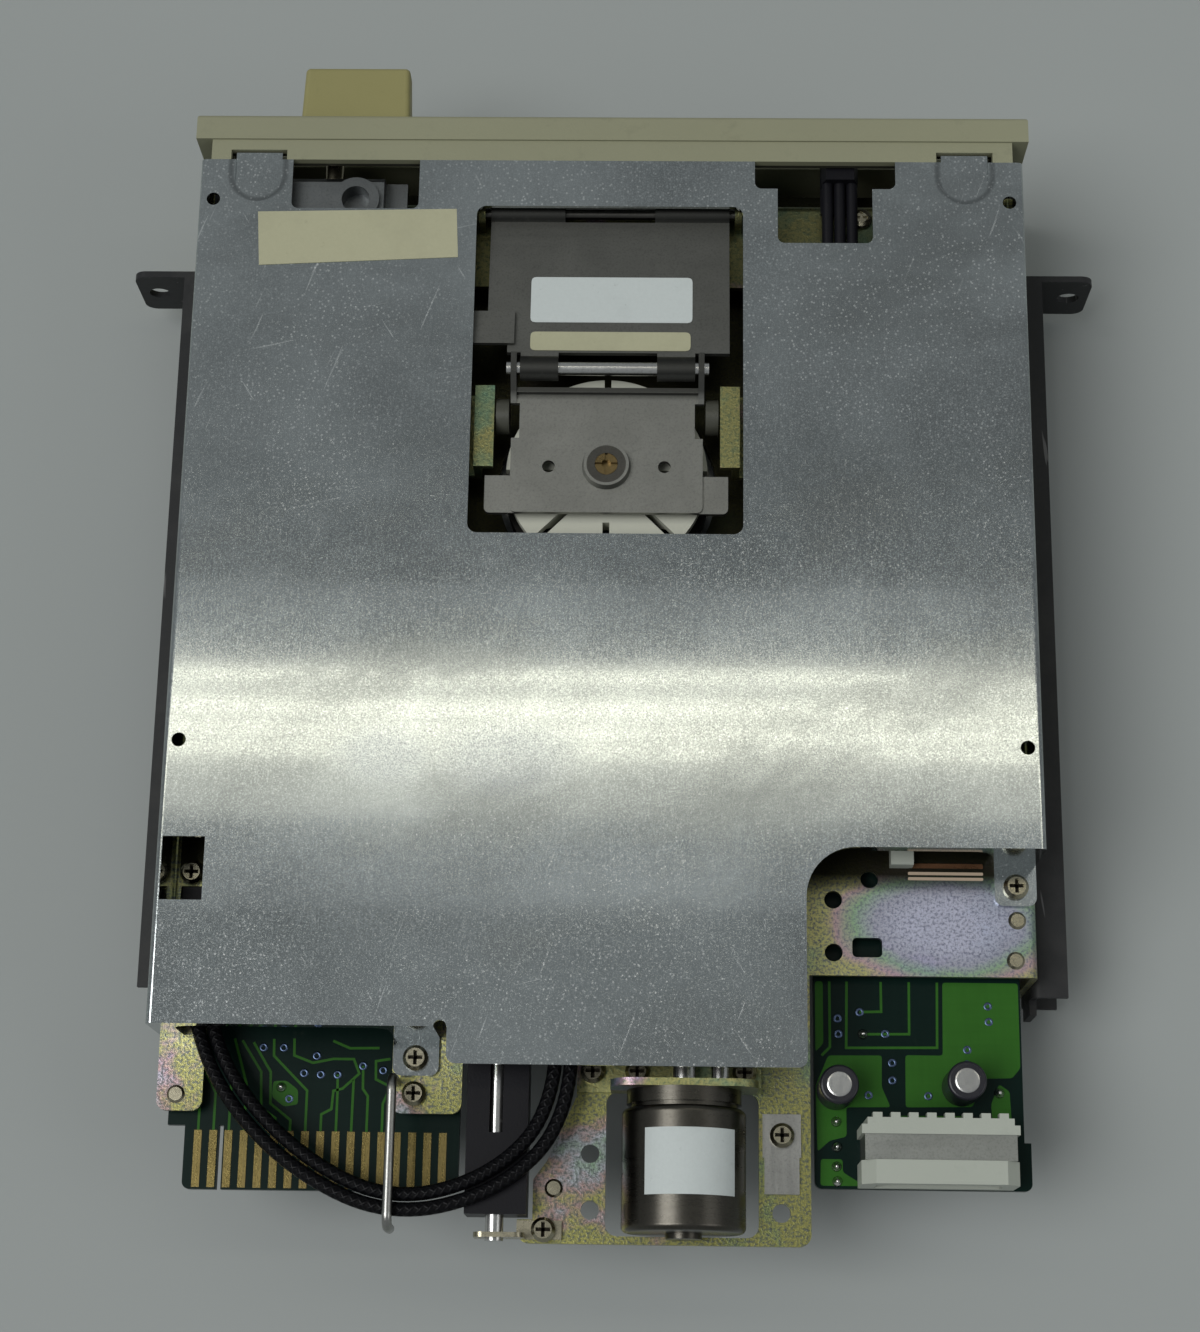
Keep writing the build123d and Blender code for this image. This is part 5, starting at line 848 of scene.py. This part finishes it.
LEFT_TRACES = [
    [(59.7, 71.3), (56.3, 76.5), (56.0, 82.4), contact(5, 84.1), contact(5)],
    [(57.8, 71.6), (54.7, 76.5), (54.5, 81.7), contact(6, 84.4), contact(6)],
    [(54.4, 71.0), (54.3, 73.8), contact(7, 79.5), contact(7)],
    [
        (51.0, 70.9), (50.9, 73.7), (47.7, 74.9), (44.3, 74.2), (40.9, 74.2), (39.9, 76.6), (42.6, 79.1),
        (44.1, 79.5), (44.3, 82.5), contact(8, 83.4), contact(8),
    ],
    [(44.5, 71.2), (41.6, 72.4), (36.7, 72.3)],
    [(43.5, 76.8), contact(9, 80.0), contact(9)],
    [(40.8, 77.6), contact(10)],
    [(39.3, 75.3), (39.2, 79.1), contact(11, 80.3), contact(11)],
    [(34.8, 74.1), (37.2, 74.5), (37.1, 77.5), (34.6, 78.7), contact(12, 81.5), contact(12)],
    [(63.0, 72.0), contact(2, 77.0), contact(2)],
    [(66.0, 76.0), contact(1, 80.0), contact(1)],
    [(61.0, 71.0), contact(3, 78.5), contact(3)],
    [(66.9, 78.0), contact(0, 82.0), contact(0)],
]
LEFT_VIAS = [
    (56.1, 72.4), (52.7, 72.4), (47.1, 73.7), (49.1, 76.6), (46.3, 76.8), (43.5, 76.8), (39.3, 75.3),
    (35.9, 76.0), (58.9, 79.6), (51.4, 80.9),
]
LEFT_PADS = [[(54.2, 78.0), (52.0, 77.9), (50.0, 79.4), (49.9, 81.8), (52.2, 82.2), (54.3, 80.6)]]
RIGHT_POURS = [
    [
        (-57.3, 60.2), (-69.9, 60.2), (-69.9, 74.3), (-68.5, 76.0), (-64.0, 76.1), (-61.8, 80.8),
        (-50.8, 81.0), (-50.9, 72.4), (-57.1, 72.4),
    ],
    [
        (-38.1, 72.6), (-47.0, 72.5), (-46.9, 77.7), (-48.3, 81.0), (-41.0, 81.1), (-41.0, 85.9),
        (-38.2, 86.6), (-36.2, 88.4), (-36.0, 81.8), (-36.0, 77.5),
    ],
    [(-36.7, 89.6), (-40.3, 89.6), (-40.3, 91.7), (-43.3, 93.5), (-63.8, 93.9), (-36.6, 93.9)],
    [(-36.0, 60.2), (-37.3, 60.2), (-37.3, 70.6), (-36.0, 72.0)],
    [(-64.9, 80.3), (-66.3, 77.0), (-68.0, 78.2), (-68.2, 83.2), (-65.0, 83.2)],
    [(-49.6, 82.4), (-61.5, 82.3), (-62.5, 83.2), (-49.4, 83.2)],
]
RIGHT_TRACES = [
    [(-41.3, 60.2), (-41.1, 71.3), (-56.2, 71.1), (-56.4, 60.2)],
    [(-43.9, 69.0), (-51.6, 68.9), (-51.7, 60.2)],
    [(-43.4, 65.3), (-47.0, 65.2), (-47.0, 60.2)],
    [(-38.4, 60.2), (-38.4, 71.2), (-37.0, 72.6)],
]
RIGHT_VIAS = [
    (-39.7, 66.4), (-39.8, 69.0), (-43.4, 65.3), (-47.6, 68.9), (-64.8, 64.1), (-64.9, 66.7),
    (-61.2, 71.4), (-61.1, 73.8), (-48.7, 73.7), (-48.7, 76.6), (-44.7, 79.1), (-54.6, 79.1),
]
SOLDER_SPOTS = [
    (-39.3, 83.5), (-39.4, 87.6), (-39.3, 90.8), (-39.4, 93.2), (-43.9, 69.0), (-66.3, 78.5), (52.8, 79.0),
]
POUR_CORNER = 0.5 * MM
RING_SHARE = 0.32
MOUND_STEPS = ((0.35, 0.72), (0.35, 0.6), (0.5, 0.75))


class DRIVE_OT_copper(bpy.types.Operator):
    """Lays the copper pours and traces on the board"""

    bl_idname = "drive.copper"
    bl_label = "Board copper"

    def execute(self, context):
        sizes = context.scene.drive_sizes
        board_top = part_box("main_pcb")[1][2]
        plates = []
        for outline in RIGHT_POURS + LEFT_PADS:
            corners = rounded(metres(outline), POUR_CORNER)
            plates.append(shaped_plate(corners, sizes.copper_height))
        for run in LEFT_TRACES + RIGHT_TRACES:
            corners = ribbon(metres(run), sizes.trace_width)
            plates.append(shaped_plate(corners, sizes.copper_height))
        settle(joined(plates), "board_copper", "pour", CHASSIS, Matrix.Translation((0, 0, board_top)))
        return {"FINISHED"}


class DRIVE_OT_joints(bpy.types.Operator):
    """Sets the plated holes and the solder joints on the board"""

    bl_idname = "drive.joints"
    bl_label = "Plated holes and solder"

    def execute(self, context):
        sizes = context.scene.drive_sizes
        board_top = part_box("main_pcb")[1][2]
        places = [(x, y, board_top) for x, y in metres(LEFT_VIAS + RIGHT_VIAS)]
        settle(joined(copies(self.ring(sizes), places)), "plated_holes", "via", CHASSIS)
        radius = sizes.joint_radius
        mound = drawn_up(16, radius, [(radius * rise, shrink) for rise, shrink in MOUND_STEPS])
        places = [(x, y, board_top) for x, y in metres(SOLDER_SPOTS)]
        settle(joined(copies(mound, places)), "solder_joints", "solder", CHASSIS)
        bpy.ops.object.shade_smooth()
        return {"FINISHED"}

    def ring(self, sizes):
        """A flattened ring."""
        alone()
        width = sizes.via_radius * RING_SHARE
        bpy.ops.mesh.primitive_torus_add(
            major_segments=24, minor_segments=8, major_radius=sizes.via_radius - width, minor_radius=width
        )
        bpy.ops.object.mode_set(mode="EDIT")
        bpy.ops.mesh.select_all(action="SELECT")
        bpy.ops.transform.resize(value=(1, 1, 2 * sizes.copper_height / width))
        bpy.ops.object.mode_set(mode="OBJECT")
        bpy.ops.object.shade_smooth()
        return bpy.context.object


CAP_SPOTS = [(-39.27, 78.42), (-60.01, 77.58)]
CAP_TOP_RADIUS = 2.0 * MM
CAP_TOP_HEIGHT = 0.1 * MM
CAP_RIM = 0.25 * MM
CAP_CROWN = 0.05 * MM


class DRIVE_OT_capacitor_tops(bpy.types.Operator):
    """Sets the bare metal tops in the capacitors' sleeves"""

    bl_idname = "drive.capacitor_tops"
    bl_label = "Capacitor tops"

    def execute(self, context):
        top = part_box("capacitors")[1][2]
        alone()
        bpy.ops.mesh.primitive_circle_add(vertices=40, radius=CAP_TOP_RADIUS, fill_type="NGON")
        bpy.ops.object.mode_set(mode="EDIT")
        bpy.ops.mesh.extrude_region_move(TRANSFORM_OT_translate={"value": (0, 0, CAP_TOP_HEIGHT)})
        bpy.ops.mesh.inset(thickness=CAP_RIM, depth=CAP_CROWN)
        tops = copies(closed(), [(x, y, top) for x, y in metres(CAP_SPOTS)])
        settle(joined(tops), "capacitor_tops", "ground", CHASSIS)
        return {"FINISHED"}


BAY_SCREW = (-44.9 * MM, -75.6 * MM)
BEAM_TO_PIN = 1.4 * MM
SCREW_HEAD_RADIUS = 1.9 * MM
SCREW_HEAD_HEIGHT = 1.1 * MM
SLOT_SHARES = (1.2, 0.3, 0.9)
HEAD_STEPS = ((0.5, 1.0), (0.3, 0.86), (0.2, 0.6))


class DRIVE_OT_bay_screw(bpy.types.Operator):
    """Sets the screw beside the lamp's holder on the front beam"""

    bl_idname = "drive.bay_screw"
    bl_label = "Lamp bay screw"

    def execute(self, context):
        radius = SCREW_HEAD_RADIUS
        height = SCREW_HEAD_HEIGHT
        head = drawn_up(32, radius, [(height * rise, shrink) for rise, shrink in HEAD_STEPS])
        for turn in (0, math.pi / 2):
            bpy.ops.mesh.primitive_cube_add(size=1.0, location=(0, 0, height), rotation=(0, 0, turn))
            slot = bpy.context.object
            slot.scale = [size * share for size, share in zip((radius, radius, height), SLOT_SHARES)]
            cut = head.modifiers.new("slot", "BOOLEAN")
            cut.operation = "DIFFERENCE"
            cut.object = slot
            bpy.context.view_layer.objects.active = head
            bpy.ops.object.modifier_apply(modifier=cut.name)
            bpy.data.objects.remove(slot)
        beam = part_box("clamp_pivot_pin")[0][2] - BEAM_TO_PIN
        place = Matrix.Translation((*BAY_SCREW, beam))
        settle(head, "lamp_bay_screw", "screws", CHASSIS, place)
        return {"FINISHED"}


STRIP_SPAN = (-51.6, -64.2)
STRIP_ROWS = ((41.0, 0.8, "strip"), (42.3, 0.5, "tan_film"), (43.2, 0.5, "tan_film"))
STRIP_CORNER = 0.2 * MM
STRIP_SHEET = 0.25 * MM


class DRIVE_OT_sensor_strips(bpy.types.Operator):
    """Lays the copper strip and the two film strips beside the index sensor's connector"""

    bl_idname = "drive.sensor_strips"
    bl_label = "Sensor strips"

    def execute(self, context):
        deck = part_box("sensor_connector")[0][2]
        start, end = STRIP_SPAN
        for index, (row, width, finish_name) in enumerate(STRIP_ROWS):
            run = ribbon(metres([(start, row), (end, row)]), width * MM)
            strip = shaped_plate(rounded(run, STRIP_CORNER), STRIP_SHEET)
            place = Matrix.Translation((0, 0, deck))
            settle(strip, f"sensor_strip_{index + 1}", finish_name, CHASSIS, place)
        return {"FINISHED"}


RECESS_LENGTH = 2.3
RECESS_WIDTH = 0.56
RECESS_DEPTH = 0.76
RECESS_SHEET = 0.08


class DRIVE_OT_recesses(bpy.types.Operator):
    """Puts dark bars of painted shade on the floor of every cross recess in the deck's screws"""

    bl_idname = "drive.recesses"
    bl_label = "Screw recesses"

    def execute(self, context):
        places = [place for node in ("panhead_screws", "shield_screws") for place in self.heads(node)]
        settle(joined(copies(self.cross(), places)), "screw_recesses", "recess", CHASSIS)
        return {"FINISHED"}

    def heads(self, node):
        """The middle of each screw's recess, from the separate screws of a node."""
        alone()
        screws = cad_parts[node].copy()
        screws.data = screws.data.copy()
        bpy.context.collection.objects.link(screws)
        screws.select_set(True)
        bpy.context.view_layer.objects.active = screws
        bpy.ops.object.mode_set(mode="EDIT")
        bpy.ops.mesh.select_all(action="SELECT")
        bpy.ops.mesh.remove_doubles(threshold=0.001 * MM)
        bpy.ops.mesh.separate(type="LOOSE")
        bpy.ops.object.mode_set(mode="OBJECT")
        places = []
        for screw in bpy.context.selected_objects:
            corners = [screw.matrix_world @ vertex.co for vertex in screw.data.vertices]
            low = Vector(min(corner[axis] for corner in corners) for axis in range(3))
            high = Vector(max(corner[axis] for corner in corners) for axis in range(3))
            places.append(((low.x + high.x) / 2, (low.y + high.y) / 2, high.z - RECESS_DEPTH * MM))
            bpy.data.objects.remove(screw)
        return places

    def cross(self):
        """Two thin bars across each other."""
        bars = []
        for turn in (0, math.pi / 2):
            alone()
            bpy.ops.mesh.primitive_cube_add(size=MM, rotation=(0, 0, turn))
            bpy.context.object.scale = (RECESS_LENGTH, RECESS_WIDTH, RECESS_SHEET)
            bpy.ops.object.transform_apply(location=True, rotation=True, scale=True)
            bars.append(bpy.context.object)
        return joined(bars)


CAMERA_PLACE = (-9.068, 130.063, 446.765)
CAMERA_TILT = 16.442
CAMERA_ROLL = 0.521
CAMERA_YAW = 1.294
FOCAL_PIXELS = 2528.7
IMAGE_WIDTH = 1200
SENSOR = 36.0
KEY_PLACE = (0.75, 0.2, 1.3)
KEY_STRENGTH = 1.75
KEY_ANGLE = math.radians(36)
FILL_PLACE = (-1.1, 0.35, 0.9)
FILL_SIZE = (0.7, 0.7)
FILL_POWER = 2.0
SKY = (0.80, 0.84, 0.86, 1)
SKY_STRENGTH = 0.31
FLOOR_SIZE = 80.0
FLOOR_DROP = 0.05 * MM
STRIP_LENGTH = 1.6
STRIP_HEIGHT = 0.86
WARM = (1.0, 0.94, 0.76)
PLAIN = (0.97, 0.99, 1.0)
STRIPS = (
    (-0.225, 0.006, 2.3, WARM), (-0.2085, 0.009, 2.2, WARM), (-0.1965, 0.006, 2.3, WARM),
    (-0.1865, 0.006, 2.2, WARM), (-0.192, 0.076, 0.55, WARM), (-0.19, 0.16, 0.18, PLAIN),
)


def turned(axis, degrees):
    """A turn as the camera's own steps use it."""
    return Matrix.Rotation(math.radians(degrees), 3, axis)


class DRIVE_OT_stage(bpy.types.Operator):
    """Sets the floor, the lamps and the camera"""

    bl_idname = "drive.stage"
    bl_label = "Stage"

    def execute(self, context):
        self.floor(context.scene.drive_colours.floor)
        self.sun("key_light", KEY_PLACE, KEY_STRENGTH)
        for index, (row, width, radiance, tint) in enumerate(STRIPS):
            area = STRIP_LENGTH * width
            place = (0, row, STRIP_HEIGHT)
            light = self.lamp(f"strip_light_{index + 1}", place, (STRIP_LENGTH, width))
            light.energy = math.pi * area * radiance
            light.color = tint
        self.lamp("fill_light", FILL_PLACE, FILL_SIZE).energy = FILL_POWER
        world = bpy.data.worlds.new("studio")
        world.use_nodes = True
        sky = world.node_tree.nodes["Background"]
        sky.inputs["Color"].default_value = SKY
        sky.inputs["Strength"].default_value = SKY_STRENGTH
        context.scene.world = world
        context.scene.view_settings.view_transform = "Standard"
        self.camera(context)
        return {"FINISHED"}

    def floor(self, base):
        """A plain pale ground."""
        alone()
        bpy.ops.mesh.primitive_plane_add(size=FLOOR_SIZE, location=(0, 0, -FLOOR_DROP))
        ground = bpy.context.object
        ground.name = "floor"
        shade = Shade("floor_paint")
        cloud = shade.noise(3, 3, 0.5)
        shade.set("Base Color", shade.blend(cloud, tone(base, 0.96), tone(base, 1.04)))
        shade.set("Roughness", 0.6 + 0.1 * cloud)
        ground.data.materials.append(shade.material)

    def sun(self, name, place, strength):
        """A wide soft light from one side of the sky."""
        light = bpy.data.lights.new(name, "SUN")
        light.energy = strength
        light.angle = KEY_ANGLE
        lamp = bpy.data.objects.new(name, light)
        lamp.rotation_euler = (-Vector(place)).to_track_quat("-Z", "Y").to_euler()
        bpy.context.collection.objects.link(lamp)

    def lamp(self, name, place, size):
        """A soft box that looks at the drive."""
        light = bpy.data.lights.new(name, "AREA")
        light.shape = "RECTANGLE"
        light.size, light.size_y = size
        lamp = bpy.data.objects.new(name, light)
        lamp.location = place
        lamp.rotation_euler = (-Vector(place)).to_track_quat("-Z", "Y").to_euler()
        bpy.context.collection.objects.link(lamp)
        return light

    def camera(self, context):
        """The photograph's camera: over the drive's rear, its top edge towards the front."""
        data = bpy.data.cameras.new("photo_camera")
        data.sensor_fit = "HORIZONTAL"
        data.sensor_width = SENSOR
        data.lens = FOCAL_PIXELS / IMAGE_WIDTH * SENSOR
        data.clip_start = 0.01
        camera = bpy.data.objects.new("photo_camera", data)
        looking_down = Matrix(((-1, 0, 0), (0, 1, 0), (0, 0, -1)))
        aim = turned("Z", CAMERA_ROLL) @ turned("Y", CAMERA_YAW) @ turned("X", -CAMERA_TILT)
        right, down, ahead = (aim @ looking_down).row
        pose = Matrix((right, -down, -ahead)).transposed().to_4x4()
        pose.translation = Vector(CAMERA_PLACE) * MM
        camera.matrix_world = pose
        bpy.context.collection.objects.link(camera)
        context.scene.camera = camera


PIECE_OPERATORS = (
    DRIVE_OT_finishes, DRIVE_OT_cables, DRIVE_OT_labels, DRIVE_OT_copper, DRIVE_OT_joints,
    DRIVE_OT_capacitor_tops, DRIVE_OT_sensor_strips, DRIVE_OT_bay_screw, DRIVE_OT_recesses, DRIVE_OT_stage,
)


class DRIVE_PT_panel(bpy.types.Panel):
    """Lists the steps that dress the drive"""

    bl_idname = "DRIVE_PT_panel"
    bl_label = "Floppy disk drive"
    bl_space_type = "VIEW_3D"
    bl_region_type = "UI"
    bl_category = "Drive"

    def draw(self, context):
        for group in (context.scene.drive_colours, context.scene.drive_sizes):
            for key in group.__annotations__:
                self.layout.prop(group, key)
        for operator in PIECE_OPERATORS:
            self.layout.operator(operator.bl_idname)


CLASSES = (DriveColours, DriveSizes, *PIECE_OPERATORS, DRIVE_PT_panel)


def register():
    for cls in CLASSES:
        bpy.utils.register_class(cls)
    bpy.types.Scene.drive_colours = PointerProperty(type=DriveColours)
    bpy.types.Scene.drive_sizes = PointerProperty(type=DriveSizes)


def unregister():
    del bpy.types.Scene.drive_sizes
    del bpy.types.Scene.drive_colours
    for cls in reversed(CLASSES):
        bpy.utils.unregister_class(cls)


def main():
    register()
    bpy.ops.drive.finishes()
    bpy.ops.drive.cables()
    bpy.ops.drive.labels()
    bpy.ops.drive.copper()
    bpy.ops.drive.joints()
    bpy.ops.drive.capacitor_tops()
    bpy.ops.drive.sensor_strips()
    bpy.ops.drive.bay_screw()
    bpy.ops.drive.recesses()
    bpy.ops.drive.stage()


if __name__ == "__main__":
    main()
